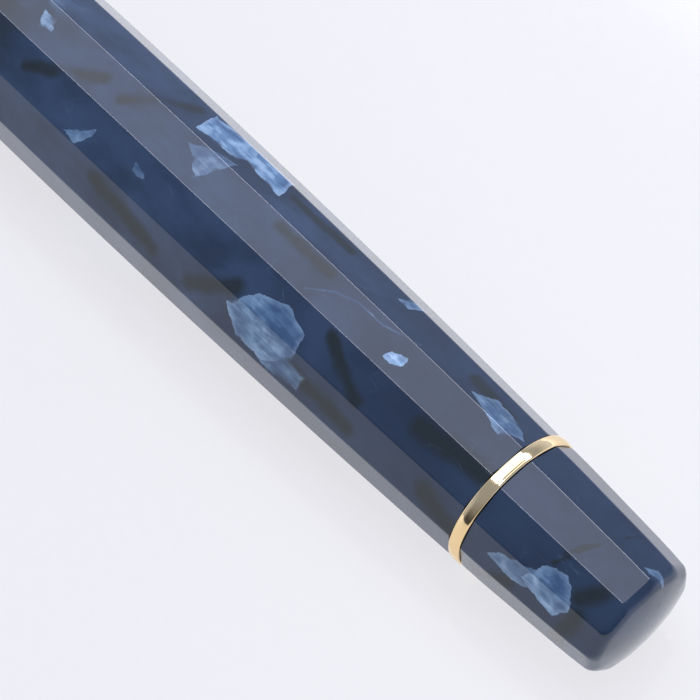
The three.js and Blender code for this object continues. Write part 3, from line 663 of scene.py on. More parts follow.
# %% [markdown]
# ### The marbling's layout
#
# The outline of a chip is given as points: how far along the flat from the ring, and how far across it
# from its middle line. The flat is named by its angle from straight up. A number before the outline says
# how bright the chip is.
# %% Lay out chips and strokes
# Outlines of single chips: flat angle, brightness, then (mm ahead of the ring, mm across) points.
BARREL_CHIPS = (
    (45, 0.72, ((23.6, 1.0), (21.8, -1.2), (19.4, -2.0), (17.0, -1.3), (16.6, 1.0), (18.8, 2.7),
                (21.8, 2.7))),
    (45, 0.55, ((19.2, 0.6), (17.2, 0.7), (15.2, 1.2), (15.4, 2.6), (18.4, 3.2), (20.4, 2.4))),
    (-45, 1.0, ((34.9, 2.7), (35.3, 0.2), (31.4, -0.3), (29.8, 0.9), (31.0, 2.3))),
    (-45, 1.0, ((31.6, 1.7), (32.0, -0.3), (27.2, -0.7), (26.6, 2.1), (28.8, 1.8))),
    (-25, 0.35, ((34.2, 1.9), (32.0, 0.9), (30.4, 0.4), (30.8, 1.8), (31.6, 3.4))),
    (-25, 0.55, ((5.6, 0.5), (4.1, -0.8), (1.8, -0.7), (0.4, 0.4), (1.9, 1.6))),
    (-45, 0.7, ((14.9, 1.0), (14.4, 0.0), (12.8, -0.4), (13.6, 1.1))),
    (0, 0.75, ((11.8, 0.8), (11.6, 0.0), (10.3, -0.4), (10.1, 0.3), (10.6, 0.8))),
    (30, 0.6, ((42.3, 1.5), (40.0, -0.3), (39.8, 0.5), (41.0, 1.7))),
    (0, 0.45, ((50.5, -0.9), (49.0, -0.9), (48.4, 0.2), (49.6, 0.4))),
    (30, 0.4, ((35.9, -0.5), (34.6, -0.4), (34.4, 0.1), (35.6, 0.2))),
)
KNOB_CHIPS = (
    (45, 0.55, ((2.7, 1.5), (4.0, 0.5), (6.8, -0.4), (7.6, 0.9), (5.4, 1.8))),
    (45, 0.75, ((5.8, 1.0), (7.0, -1.1), (8.6, -1.6), (9.6, -0.5), (10.2, 0.5), (9.2, 1.8))),
    (-30, 0.6, ((11.7, 0.9), (12.6, 1.0), (13.4, 0.3), (12.4, 0.1))),
)
BARREL_STROKES = (
    ((30, 6.2, -0.5), (30, 0.3, -1.0), 1.09), ((60, 3.2, 0.0), (60, 0.6, 0.9), 1.01),
    ((-30, 6.2, -0.2), (-30, 2.5, 0.3), 0.72), ((60, 16.4, 0.0), (60, 10.8, 0.4), 0.87),
    ((30, 15.4, -0.9), (30, 11.0, 1.3), 0.61),
    ((-30, 26.0, -0.7), (-30, 20.0, -0.8), 0.52), ((0, 24.4, -1.0), (0, 19.2, -1.0), 0.61),
    ((30, 48.0, 0.0), (0, 42.6, 0.0), 0.65), ((0, 40.3, 0.3), (-30, 36.3, -0.7), 0.58),
    ((60, 27.0, 0.4), (30, 23.5, 1.2), 0.87), ((60, 38.0, -0.6), (60, 31.0, 0.4), 0.80),
)
KNOB_STROKES = (
    ((30, 7.4, -1.2), (0, 8.5, -0.4), 0.18), ((0, 8.5, -0.4), (-30, 9.8, -1.0), 0.18),
    ((30, 10.2, 0.5), (30, 11.1, -0.8), 0.87), ((90, 10.0, 0.0), (60, 10.7, -1.1), 0.87),
    ((30, 7.2, -0.2), (30, 7.7, -1.1), 0.33), ((90, 2.4, 0.0), (60, 5.4, 0.7), 0.65),
)
WISP = ((0, 19.4, 1.1), (0, 17.8, -0.2), (0, 15.9, -0.9), (0, 13.5, -0.9), (-30, 10.6, 1.3))
print(len(BARREL_CHIPS) + len(KNOB_CHIPS), "chips,", len(BARREL_STROKES) + len(KNOB_STROKES), "strokes")

# %% [markdown]
# ### From layout to masks
#
# Each chip becomes the least of its plane distances. A little noise added to them makes its edges torn
# instead of straight. Each stroke becomes the distance to a line between two points, and fades softly.
# %% Measure chips and strokes at each point
def chip_depth(place, planes, tear):
    """How far inside a chip a point is, in metres, with torn edges."""
    depth = None
    for normal, distance in planes:
        inside_by = place.dot(tuple(normal)) - distance
        depth = inside_by if depth is None else depth.least(inside_by)
    return depth + tear


def stroke_mask(place, start, end, width, wander):
    """1 along a line between two points, falling softly to 0 at about its width."""
    line = end - start
    offset = place.vector("SUBTRACT", place, tuple(start))
    share = offset.dot(tuple(line / line.length_squared))
    share = share.math("MULTIPLY", share, 1.0, clamp=True)
    nearest = place.vector("SCALE", tuple(line))
    nearest.tree.links.new(share.socket, nearest.socket.node.inputs["Scale"])
    gap = offset.vector("SUBTRACT", offset, nearest)
    far = gap.vector("LENGTH", gap, output=1) + wander
    return 1 - far.share(width * 0.25, width * 1.25)


print("a chip of", len(BARREL_CHIPS[0][2]), "corners takes", len(BARREL_CHIPS[0][2]) + 1, "planes")

# %% [markdown]
# ### Chance chips, films and threads
#
# Away from the placed ones, chance fills the block. It is split into cells, as a cracked stone is, and a
# cell becomes a chip when its own number is high. Its rim is kept free, so that chips stay apart. Dark
# films lie where a long slow noise is high. Thin threads of pearl are the lines where another slow noise
# crosses its middle value, in a few places only.
# %% Scatter chance marks
LARGE_CELLS = 330.0
SMALL_CELLS = 900.0
BEND = (0.0011, 0.0011, 0.0011)


def chance_cells(cracked, scale, number_mix, kept_from, rim_from, rim_to):
    """Chips made of the cells that are kept, and each point's distance to its cell's rim."""
    number = cracked.cells(scale, output=1).dot(number_mix)
    rim = cracked.cells(scale, {"feature": "DISTANCE_TO_EDGE"})
    return number.share(kept_from, kept_from + 0.01) * rim.share(rim_from, rim_to), rim


def chance_chips(place):
    bent = place.vector("ADD", place, place.noise(900.0, 2.0, output=1).stretched(BEND))
    cracked = bent.stretched((0.42, 1, 1))
    large, rim = chance_cells(cracked, LARGE_CELLS, (0.5, 0.3, 0.2), 0.72, 0.05, 0.16)
    small, _ = chance_cells(cracked, SMALL_CELLS, (0.2, 0.5, 0.3), 0.80, 0.06, 0.2)
    return large.most(0.7 * small), rim


def pearl_threads(place, fibre):
    from_middle = place.stretched((0.5, 1, 1)).noise(330.0, 2.5) - 0.5
    crossing = 1 - from_middle.math("ABSOLUTE", from_middle).share(0.0, 0.012)
    return crossing * place.noise(240.0, 1.0).share(0.52, 0.66) * fibre.share(0.35, 0.6)


print(f"cells are about {1 / LARGE_CELLS / MM:.1f} and {1 / SMALL_CELLS / MM:.1f} mm across")

# %% [markdown]
# ### The colours
#
# The body colour is a slow cloud of deep blues, darkened towards the tail by painted shade, and dark
# olive films cross it as soft-edged strokes.
# Inside, a chip is fibrous, paler along some edges, and slightly metallic, because its pearl is made of
# tiny plates. Its pale blue is partly the pearl's own colour and partly a painted sheen off the plates.
# %% Colour the body and the pearl
SKY_BLUE = (0.23, 0.41, 0.65, 1)
PALE_BLUE = (0.46, 0.65, 0.88, 1)
CHIP_SHADE = (0.09, 0.19, 0.38, 1)
DEEP_BLUE = (0.018, 0.040, 0.088, 1)
CLEAR_BLUE = (0.043, 0.086, 0.178, 1)
OLIVE = (0.012, 0.023, 0.027, 1)
SMOKE = (0.024, 0.048, 0.09, 1)


def body_colour(place, film, fibre):
    """The clear dough: a cloud of blues, with painted shade darkening it towards the tail, and haze and
    films in it.
    """
    cloud = place.stretched((1, 1.5, 1.5)).noise(190.0, 3.0)
    haze = place.stretched((0.6, 1.5, 1.5)).noise(420.0, 3.0)
    # painted shade: the body colour is darkened over the last 30 mm before the tail ring
    painted_tail_shade = 0.55 * place.dot((1, 0, 0)).share(TAIL - 30 * MM, TAIL - 2 * MM)
    body = cloud.share(0.3, 0.72).colour(DEEP_BLUE, CLEAR_BLUE)
    body = painted_tail_shade.colour(body, DEEP_BLUE)
    body = (haze.share(0.5, 0.8) * 0.6).colour(body, SMOKE)
    return (film * (0.72 + 0.4 * fibre)).colour(body, OLIVE)


def pearl_colour(grain, fibre, depth_tone, edge_light):
    """The chips: shaded blue where the plates lie deep, pale with own pearl and painted sheen where they
    shine.
    """
    depth = 0.45 * grain + 0.25 * fibre + 0.5 * depth_tone
    pearl = depth.share(0.46, 0.74).colour(CHIP_SHADE, SKY_BLUE)
    # painted sheen: the pale blue along chip edges and in patches is partly the pearl's own colour
    shine = (edge_light * (0.2 + 0.9 * fibre)).most((depth_tone + 0.5 * grain).share(0.78, 1.0))
    return shine.colour(pearl, PALE_BLUE)


print("seven colours, from", OLIVE[:3], "to", PALE_BLUE[:3])

# %% [markdown]
# ### Putting the celluloid together
#
# The masks of all chips are joined by taking the greater, and so are those of all strokes. One mask then
# chooses between body and pearl. The wheel's polish is a clear coat over the whole.
# %% Build the celluloid
JAG = 0.32 * MM
FINE_JAG = 0.05 * MM
WANDER = 0.65 * MM
THREAD_STRENGTH = 0.1
WISP_STRENGTH = 0.2
WISP_WIDTH = 0.1 * MM


def evened(noise, reach):
    """Noise moved so that it goes about as far below zero as above, to reach either way."""
    return (noise - 0.5) * (2 * reach)


def celluloid_finish(name, chips=(), strokes=(), wisp=(), show_chance=None):
    material, place = start_finish(name)
    torn = evened(place.noise(1000.0, 3.0), JAG) + evened(place.noise(6500.0, 2.0), FINE_JAG)
    wander = evened(place.noise(520.0, 2.0), WANDER)
    grain = place.stretched((500, 2600, 1700)).noise(1.0, 4.0)
    fibre = place.stretched((900, 5200, 4000)).noise(1.0, 3.0)
    chance, rim = chance_chips(place)
    film = place.stretched((0.35, 1, 1)).noise(420.0, 1.5).share(0.56, 0.66)
    if show_chance:
        chance = chance * show_chance(place)
        film = film * show_chance(place)
    for start, end, width in strokes:
        film = film.most(stroke_mask(place, start, end, width, wander * 0.6))
    softness = 0.04 * MM + (0.75 * MM) * place.noise(430.0, 1.0).share(0.5, 0.75)
    mask = chance.most(THREAD_STRENGTH * pearl_threads(place, fibre))
    # painted sheen: chance chips grow paler towards their rims, partly their own pearl
    edge_light = chance * (1 - rim.share(0.05, 0.4))
    for brightness, planes in chips:
        depth = chip_depth(place, planes, torn)
        inside_chip = depth.share(0.0, softness)
        mask = mask.most(brightness * inside_chip)
        edge_light = edge_light.most(inside_chip * (1 - depth.share(0.05 * MM, 0.55 * MM)) * brightness)
    for start, end in zip(wisp, wisp[1:]):
        mask = mask.most(WISP_STRENGTH * stroke_mask(place, start, end, WISP_WIDTH, wander * 0.04))
    depth_tone = place.noise(620.0, 3.0)
    body = body_colour(place, film, fibre)
    pearl = pearl_colour(grain, fibre, depth_tone, edge_light)
    opacity = mask * (0.5 + 0.5 * grain + 0.5 * depth_tone)
    opacity = opacity.math("MULTIPLY", opacity, 1.0, clamp=True)
    return close_finish(material, place, {
        "Base Color": opacity.colour(body, pearl), "Metallic": 0.35 * opacity,
        "Roughness": 0.34 - 0.08 * mask, "Specular IOR Level": 0.05, "Coat Weight": 1.0,
        "Coat Roughness": 0.012, "Coat IOR": 1.54})


cap_celluloid = celluloid_finish("cap celluloid")

# %% [markdown]
# The barrel and the knob have placed chips on their upper flats. Chance marks are kept off those flats,
# and fill the rest.
# %% Finish the barrel and the knob
UPPER_SIDE = (0, -0.36, 0.93)


def upper_side(place, low, high):
    """0 below the pen's middle and 1 on its upper flats, between two heights above the middle."""
    return place.vector("SUBTRACT", place, (0, 0, AXIS_Z)).dot(UPPER_SIDE).share(low, high)


def off_the_placed_chips(place):
    far_along = place.dot((1, 0, 0))
    near_tail = far_along.share(TAIL - 54 * MM, TAIL - 48 * MM)
    return (1 - upper_side(place, -1.5 * MM, 0.5 * MM)).most(1 - near_tail)


def off_the_knob_top(place):
    return 1 - upper_side(place, -2.5 * MM, -0.5 * MM)


def placed(chips, strokes, shape, way, lean):
    slabs = [(light, slab(shape, way, lean, flat, outline)) for flat, light, outline in chips]
    return slabs, [stroke(shape, way, lean, *line) for line in strokes]


wisp = [on_flat(barrel_shape, f, BARREL_LEAN, TAIL - a * MM, s)[0] for f, a, s in WISP]
barrel_marks = placed(BARREL_CHIPS, BARREL_STROKES, barrel_shape, -1, BARREL_LEAN)
knob_marks = placed(KNOB_CHIPS, KNOB_STROKES, knob_shape, 1, KNOB_LEAN)
barrel_celluloid = celluloid_finish("barrel celluloid", *barrel_marks, wisp, off_the_placed_chips)
knob_celluloid = celluloid_finish("knob celluloid", *knob_marks, show_chance=off_the_knob_top)

# %% [markdown]
# ## Long faceted bodies
#
# The barrel and the cap are both long faceted tubes with a turned rounding at each end. Their rows stand
# close together at the ends, where the shape changes quickly, and wide apart between them.
# %% Lay rows along a body
END_LENGTH = 0.22 * MM
END_DEPTH = 0.2 * MM
BODY_STEP = 1.2 * MM
PAD = 2 * BLEND
NO_LIMIT = 10 * MM


def body_rows(x_first, x_last, shape, start, finish):
    """Rows from one end of a faceted body to the other. start and finish are (length, depth) of the
    turned rounding at each end."""
    rows = [(x_first + along, PAD - down) for along, down in end_steps(*start)]
    first_plain, plain = x_first + start[0], x_last - x_first - start[0] - finish[0]
    count = round(plain / BODY_STEP)
    rows += [(first_plain + plain * i / count, NO_LIMIT) for i in range(1, count)]
    rows += [(x_last - along, PAD - down) for along, down in reversed(end_steps(*finish))]
    return [(x, shape(x), shape(x) + room, EDGE) for x, room in rows]


print(f"rows every {BODY_STEP / MM:.1f} mm between the ends")

# %% [markdown]
# ## Barrel
#
# The barrel is the long faceted tube between the cap and the tail ring. It swells gently to a belly and
# narrows to the tail. Its outside is a smooth curve through the frame's corners; inside it is bored for
# the thread collar, the ink and the piston housing.
# %% Make the barrel
CLOSER = 0.07 * MM
BODY_ENDS = ((END_LENGTH, END_DEPTH), (END_LENGTH, END_DEPTH))


def bore(steps, shape):
    """Rows down the inside of a faceted piece, from (x, radius) steps."""
    return [(x, shape(x), r, EDGE) for x, r in steps]


barrel_first, barrel_last = span("barrel")
barrel_end = barrel_last + CLOSER
seat = radii_at("barrel", barrel_first)[0]
tail_bore = radii_at("barrel", barrel_last)[0]
chamber = inner("ink_window")
seat_end = span("thread_collar")[1]
housing_start = span("piston_housing")[0]
inside = [(barrel_end, tail_bore), (housing_start, tail_bore), (housing_start, chamber), (seat_end, chamber),
          (seat_end, seat), (barrel_first, seat)]
rows = body_rows(barrel_first, barrel_end, barrel_shape, *BODY_ENDS)
barrel_rings = faceted(rows + bore(inside, barrel_shape), BARREL_LEAN)
fit("barrel", skin(barrel_rings, loop=True), barrel_celluloid)

# %% [markdown]
# ## Tail ring
#
# A plain round band of gold, so it stands a hair proud of the flats on both sides and just meets the
# corners. Its face is crowned very slightly, and that is why its highlight is a long pointed shape.
# %% Make the trim rings
CROWN_RISE = 0.05 * MM
RING_ROUND = 0.16 * MM
RING_STEPS = 10


def trim_ring(node):
    """A crowned round ring in the place of a ring of the frame."""
    first, last = span(node)
    top = outer(node)
    side = [(first, inner(node), 0)]
    for i in range(RING_STEPS + 1):
        angle = math.pi / 2 * i / RING_STEPS
        rise = RING_ROUND * math.sin(angle) - RING_ROUND - CROWN_RISE
        side.append((first + RING_ROUND * (1 - math.cos(angle)), top + rise, 0))
    crown = []
    for i in range(1, RING_STEPS):
        share = 2 * i / RING_STEPS - 1
        x = (first + last) / 2 + share * ((last - first) / 2 - RING_ROUND)
        crown.append((x, top - CROWN_RISE * share * share, 0))
    return turned(side + crown + [(first + last - x, r, 0) for x, r, _ in reversed(side)])


for node in ("tail_ring", "crown_ring"):
    fit(node, trim_ring(node), gold)

# %% [markdown]
# ## Filling knob and crown
#
# The knob carries the barrel's twelve flats on, and is turned a few degrees out of line with them, as
# such knobs are when they are screwed home. Its flats start in a turned rounding at the ring and roll
# over into a shallow dome at the end, where they fade into one smooth face.
# %% Roll the edge into the dome
ROLL = 0.95 * MM
ROLL_STEPS = 14
DOME_STEPS = 12
ROLL_SOFTNESS = 0.6
FACE_SOFTNESS = 0.39


def rolled_end(top, straight, dome):
    """Rows of (distance, corner radius, edge rounding) over the rolled edge and dome, and the tip."""
    floor_radius = top - ROLL
    ball = (floor_radius ** 2 + dome ** 2) / (2 * dome)
    last_angle = math.pi / 2 - math.asin(floor_radius / ball)
    rows = []
    for i in range(1, ROLL_STEPS + 1):
        angle = last_angle * i / ROLL_STEPS
        radius = top - ROLL * (1 - math.cos(angle))
        soft = EDGE + (ROLL_SOFTNESS * radius - EDGE) * i / ROLL_STEPS
        rows.append((straight + ROLL * math.sin(angle), radius, soft))
    edge_place, edge_radius, _ = rows[-1]
    edge_angle = math.asin(edge_radius / ball)
    tip = edge_place + ball * (1 - math.cos(edge_angle))
    for i in range(1, DOME_STEPS):
        angle = edge_angle * (1 - i / DOME_STEPS)
        radius = ball * math.sin(angle)
        soft = radius * (ROLL_SOFTNESS + FACE_SOFTNESS * min(1, 3 * i / DOME_STEPS))
        rows.append((tip - ball * (1 - math.cos(angle)), radius, soft))
    return rows, tip


print(f"edges roll over in {ROLL / MM:.2f} mm")

# %% [markdown]
# The crown is the knob's twin at the other end, so one routine makes both. Each has a blind bore, for the
# spindle and for the stud.
# %% Make the knob and the crown
NEARER = 0.07 * MM
KNOB_START_ROUND = (0.36 * MM, 0.17 * MM)


def end_piece(node, way, dome, lean, hole_depth):
    """A faceted end piece. way is 1 at the tail and -1 at the cap's end."""
    first, last = span(node)[::way]
    shape = profile(node, KNOB_DEGREE)
    hole = radii_at(node, first)[0]
    start = first - way * NEARER
    straight = abs(last - start) - dome - ROLL
    round_length = KNOB_START_ROUND[0]
    rows = [(start + way * along, shape(start), limit, EDGE)
            for along, limit in ((hole_depth, 0), (hole_depth, hole), (0, hole))]
    for along, down in end_steps(*KNOB_START_ROUND):
        x = start + way * along
        rows.append((x, shape(x), shape(x) + PAD - down, EDGE))
    count = round(straight / BODY_STEP)
    for i in range(1, count + 1):
        x = start + way * (round_length + (straight - round_length) * i / count)
        rows.append((x, shape(x), NO_LIMIT, EDGE))
    over, tip = rolled_end(shape(start + way * straight), straight, dome)
    rows += [(start + way * along, radius, NO_LIMIT, soft) for along, radius, soft in over]
    rows.append((start + way * tip, shape(start), 0, EDGE))
    return skin(faceted(rows, lean))


knob_depth = span("knob_spindle")[1] - span("piston_knob")[0]
crown_depth = span("cap_crown")[1] - span("crown_stud")[0]
knob = end_piece("piston_knob", 1, 0.42 * MM, KNOB_LEAN, knob_depth)
fit("piston_knob", knob, knob_celluloid)
crown = end_piece("cap_crown", -1, 0.6 * MM, 0.0, crown_depth)
fit("cap_crown", crown, cap_celluloid)

# %% [markdown]
# ## Screw threads
#
# The cap screws onto a gold collar between the barrel and the ink window. Both threads are real helices:
# the surface is a grid round the axis, and the radius at each point depends on how far along the pitch
# it is, shifted by the angle. A cut thread has a flat root and crest with sloping sides, and it runs out
# gently at both ends.
# %% Make helical threads
PITCH = 1.2 * MM
THREAD_SIDES = 108
THREAD_ROWS_PER_PITCH = 16
RUN_OUT = 0.7 * MM
THREAD_SHARP = math.radians(65)
THREAD_CREST = 1.7
THREAD_SLOPE = 4.4
THREAD_TURN = np.linspace(0, 2 * math.pi, THREAD_SIDES, endpoint=False)


def thread_radius(x, angle, root, crest, first, last):
    """Radius of a thread's surface. It rises from root to crest, and fades out near both ends."""
    turn_share = (x / PITCH - angle / (2 * math.pi)) % 1.0
    wave = np.clip(THREAD_CREST - THREAD_SLOPE * abs(turn_share - 0.5), 0, 1)
    wave = wave * wave * (3 - 2 * wave)
    fade = np.clip(min(x - first, last - x) / RUN_OUT, 0, 1)
    return root + (crest - root) * wave * fade


def thread_rings(first, last, root, crest):
    """Rings from first to last, whichever is larger, with a helical thread between root and crest."""
    low, high = sorted((first, last))
    count = round((high - low) / PITCH * THREAD_ROWS_PER_PITCH)
    rings = []
    for i in range(count + 1):
        x = first + (last - first) * i / count
        radii = np.array([thread_radius(x, a, root, crest, low, high) for a in THREAD_TURN])
        rings.append(ring_points(x, THREAD_TURN, radii))
    return rings


def plain_rings(outline):
    return [ring_points(x, THREAD_TURN, r) for x, r in rounded(outline, closed=False)]


print(f"threads have {THREAD_SIDES} points a turn, at {PITCH / MM} mm pitch")

# %% [markdown]
# The collar has three parts: a plain cuff, the thread that the cap takes, and a tenon that is glued into
# the barrel's seat.
# %% Make the thread collar
CUFF = 0.3 * MM
CUFF_BREAK = CUFF / 3
collar_first, collar_last = span("thread_collar")
collar_steps = sorted(set(np.round(corners("thread_collar")[:, 1], 6)))
bore_radius, crest = collar_steps[0], collar_steps[-1]
root = radii_at("thread_collar", collar_first)[-1]
tenon = radii_at("thread_collar", collar_last)[-1]
front = [(collar_first, bore_radius, 0), (collar_first, root - CUFF_BREAK, 0),
         (collar_first + CUFF_BREAK, root, 0)]
back_part = [(barrel_first, root, 0), (barrel_first, tenon, 0), (collar_last, tenon, 0),
             (collar_last, bore_radius, 0)]
thread = thread_rings(collar_first + CUFF, barrel_first - CUFF, root, crest)
collar_rings = plain_rings(front) + thread + plain_rings(back_part)
fit("thread_collar", skin(collar_rings, loop=True), gold, THREAD_SHARP)

# %% [markdown]
# ## Turned tubes
#
# These parts come straight off a lathe. Each outline is read from its solid's own corners and given the
# small roundings that a turner breaks the edges with.
# %% Make the plain tubes
BREAK = 0.08 * MM


def mirrored(outline, middle=0.0):
    """An outline followed by its mirror image across a place along the axis."""
    return outline + [(2 * middle - x, r, rounding) for x, r, rounding in reversed(outline)]


def tube_piece(node, finish, rounding=BREAK):
    first, last = span(node)
    low, high = inner(node), outer(node)
    front = [(first, low, rounding), (first, high, rounding)]
    return fit(node, turned(mirrored(front, (first + last) / 2)), finish)


tube_piece("ink_window", amber, 0.12 * MM)
tube_piece("nib_housing", brass)
tube_piece("spindle_retainer", brass)
tube_piece("spring_seat", nylon, 0.15 * MM)

# %% [markdown]
# ## Grip
#
# The grip is one soft curve, thinnest near the nib, where the fingers hold it. A straight taper less a
# half wave gives that curve, and a power of the distance moves the thinnest place forward. Its front edge
# carries a ring like the trim rings.
# %% Make the grip
WAIST = 4.55 * MM
WAIST_PLACE = 1.5
GRIP_STEPS = 48
grip_first, grip_last = span("grip_section")
grip_bore = inner("grip_section")
grip_seat_end = span("section_ring")[1]
grip_seat = radii_at("grip_section", grip_first)[-1]
rear_low, rear_top = radii_at("grip_section", grip_last)
housing_from = span("nib_housing")[1]
ring_top = outer("section_ring")
outline = [(grip_last, rear_low, 0), (grip_last, rear_top - BREAK, 0)]
for i in range(1, GRIP_STEPS + 1):
    share = i / GRIP_STEPS
    x = grip_last + (grip_seat_end + 2 * BREAK - grip_last) * share
    straight = rear_top + (ring_top - rear_top) * share
    waist = ((rear_top + ring_top) / 2 - WAIST) * math.sin(math.pi * share ** WAIST_PLACE)
    outline.append((x, straight - waist, 0))
outline += [(grip_seat_end + BREAK, ring_top - BREAK / 2, 0), (grip_seat_end + BREAK, grip_seat, 0),
            (grip_first, grip_seat, 0), (grip_first, grip_bore, 0), (housing_from, grip_bore, 0),
            (housing_from, rear_low, 0)]
fit("grip_section", turned(outline), cap_celluloid)
fit("section_ring", trim_ring("section_ring"), gold)

# %% [markdown]
# ## Piston filler
#
# Turning the knob turns the spindle, a hollow screw held by its flange. The housing round it is screwed
# into the barrel's tail. Its front is closed to a keyed hole, which the rod passes through.
# %% Make the spindle and its housing
SLIDE = 0.1 * MM
GROOVE = 0.12 * MM
GLUE = 0.04 * MM


def widest(node):
    """Where a node's widest part starts and ends."""
    xs = [x for x, r in corners(node) if r > outer(node) - 0.01 * MM]
    return min(xs), max(xs)


spindle_first, spindle_last = span("knob_spindle")
spindle_bore, flange_outer = inner("knob_spindle"), outer("knob_spindle")
spindle_outer = radii_at("knob_spindle", spindle_last)[-1]
flange_first, flange_last = widest("knob_spindle")
front = [(spindle_first, spindle_bore, 0), (spindle_first, spindle_outer - BREAK, 0)]
flange = [(flange_first, spindle_outer, 0), (flange_first, flange_outer, BREAK),
          (flange_last, flange_outer, BREAK), (flange_last, spindle_outer, 0),
          (spindle_last, spindle_outer, 0), (spindle_last, spindle_bore, 0)]
screw = thread_rings(spindle_first + BREAK, flange_first - SLIDE, spindle_outer - GROOVE, spindle_outer)
spindle_rings = plain_rings(front) + screw + plain_rings(flange)
fit("knob_spindle", skin(spindle_rings, loop=True), brass)

housing_first, housing_last = span("piston_housing")
housing_outer = outer("piston_housing")
rod_radius = outer("piston_rod")
key_end = spindle_first - 2 * SLIDE
key_hole = rod_radius + SLIDE
room = spindle_outer + SLIDE
flange_room = flange_outer + SLIDE
outline = [(housing_first, key_hole, 0), (housing_first, housing_outer, BREAK),
           (housing_last, housing_outer, BREAK), (housing_last, flange_room, BREAK),
           (flange_first - SLIDE, flange_room, 0), (flange_first - SLIDE, room, 0), (key_end, room, 0),
           (key_end, key_hole, 0)]
fit("piston_housing", turned(outline), brass)

# %% [markdown]
# The rod has two flats, so the housing stops it turning and it can only slide. It is a round bar with
# its sides cut off, which here means that its points are held between two planes.
# %% Make the piston rod
ROD_BREAK = 0.15 * MM
ROD_SHARP = math.radians(20)
rod_first, rod_last = span("piston_rod")
flat_low, flat_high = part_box("piston_rod")
half_flat = (flat_high.y - flat_low.y) / 2


def rod_ring(x, shrink):
    points = ring_points(x, TURN, rod_radius - shrink)
    limit = half_flat - shrink
    points[:, 1] = np.clip(points[:, 1], -limit, limit)
    return points


def middle_point(x):
    return ring_points(x, np.zeros(1), np.zeros(1))


rod_rings = [middle_point(rod_first), rod_ring(rod_first, ROD_BREAK), rod_ring(rod_first + ROD_BREAK, 0),
             rod_ring(rod_last - ROD_BREAK, 0), rod_ring(rod_last, ROD_BREAK), middle_point(rod_last)]
fit("piston_rod", skin(rod_rings), steel, ROD_SHARP)

# %% [markdown]
# The head is hard rubber, glued on the rod. A soft sleeve sits in its groove and wipes the ink chamber
# with two lips. Between the lips it is relieved, so that it slides easily.
# %% Make the piston head and its seal
LIP = 1.5 * MM
RELIEF = 0.35 * MM
SLOPE = 0.5 * MM
LIP_ROUND = 0.15 * MM
SOFT_ROUND = 0.3 * MM
RELIEF_ROUND = 0.4 * MM
HEAD_DOME = 0.25 * MM


head_first, head_last = span("piston_head")
head_top = outer("piston_head")
seal_first, seal_last = span("piston_seal")
seal_bore, seal_lip = inner("piston_seal"), outer("piston_seal")
core = seal_bore - GLUE
socket = rod_radius + GLUE
socket_floor = rod_first - 2 * SLIDE
outline = [(head_first, 0, 0), (head_first + HEAD_DOME * 0.2, head_top * 0.6, 0),
           (head_first + HEAD_DOME, head_top, BREAK), (seal_first - SLIDE, head_top, BREAK),
           (seal_first - SLIDE, core, 0), (seal_last + SLIDE, core, 0),
           (seal_last + SLIDE, head_top, BREAK), (head_last, head_top, BREAK), (head_last, socket, 0),
           (socket_floor, socket, 0), (socket_floor, 0, 0)]
fit("piston_head", turned(outline, closed=False), ebonite)

front = [(seal_first, seal_bore, BREAK), (seal_first, seal_lip, LIP_ROUND),
         (seal_first + LIP, seal_lip, SOFT_ROUND),
         (seal_first + LIP + SLOPE, seal_lip - RELIEF, RELIEF_ROUND)]
fit("piston_seal", turned(mirrored(front, (seal_first + seal_last) / 2)), nylon)

# %% [markdown]
# ## Inner cap
#
# A hard rubber inner cap closes over the nib so that it does not dry. It is a cup whose mouth seals on
# the grip's ring, and it stays still while the cap turns round it.
# %% Make the inner cap
CUP_ROUND = 0.4 * MM
MOUTH_ROUND = 0.15 * MM
FLOOR_ROUND = 0.6 * MM
NIB_ROOM = 0.7 * MM
cup_back, cup_open = span("inner_cap")
cup_bore = radii_at("inner_cap", cup_open)[0]
cup_outer = outer("inner_cap")
cup_floor = span("nib_tipping")[0] - NIB_ROOM
outline = [(cup_back, 0, 0), (cup_back, cup_outer, CUP_ROUND), (cup_open, cup_outer, BREAK),
           (cup_open, cup_bore, MOUTH_ROUND), (cup_floor, cup_bore, FLOOR_ROUND), (cup_floor, 0, 0)]
fit("inner_cap", turned(outline, closed=False), ebonite)

# %% [markdown]
# ## Inner cap's spring
#
# A coil spring presses the inner cap against the grip, and pushes from a nylon washer. A round section
# swept along a helix makes the wire.
# %% Make the spring
WIRE = 0.3 * MM
SPRING_TURNS = 3.5
SPRING_STEPS = 168
WIRE_SIDES = 12
spring_low, spring_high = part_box("inner_cap_spring")
coil = cup_bore - 3 * WIRE
wire_ends = np.array([spring_high.x - WIRE, spring_low.x + WIRE])
path = []
for i in range(SPRING_STEPS + 1):
    share = i / SPRING_STEPS
    angle = share * SPRING_TURNS * 2 * math.pi
    x = wire_ends[0] + (wire_ends[1] - wire_ends[0]) * share
    path.append(Vector((x, -coil * math.sin(angle), AXIS_Z + coil * math.cos(angle))))


def swept(points, radius):
    """Rings of a round wire along a path, closed at both ends."""
    rings = [np.array([points[0]])]
    for i, point in enumerate(points):
        onward = (points[min(i + 1, len(points) - 1)] - points[max(i - 1, 0)]).normalized()
        outwards = Vector((0, point.y, point.z - AXIS_Z)).normalized()
        across = onward.cross(outwards).normalized()
        outwards = across.cross(onward)
        turn = [radius * (math.cos(a) * outwards + math.sin(a) * across)
                for a in np.linspace(0, 2 * math.pi, WIRE_SIDES, endpoint=False)]
        rings.append(np.array([point + offset for offset in turn]))
    rings.append(np.array([points[-1]]))
    return rings


fit("inner_cap_spring", skin(swept(path, WIRE)), steel)

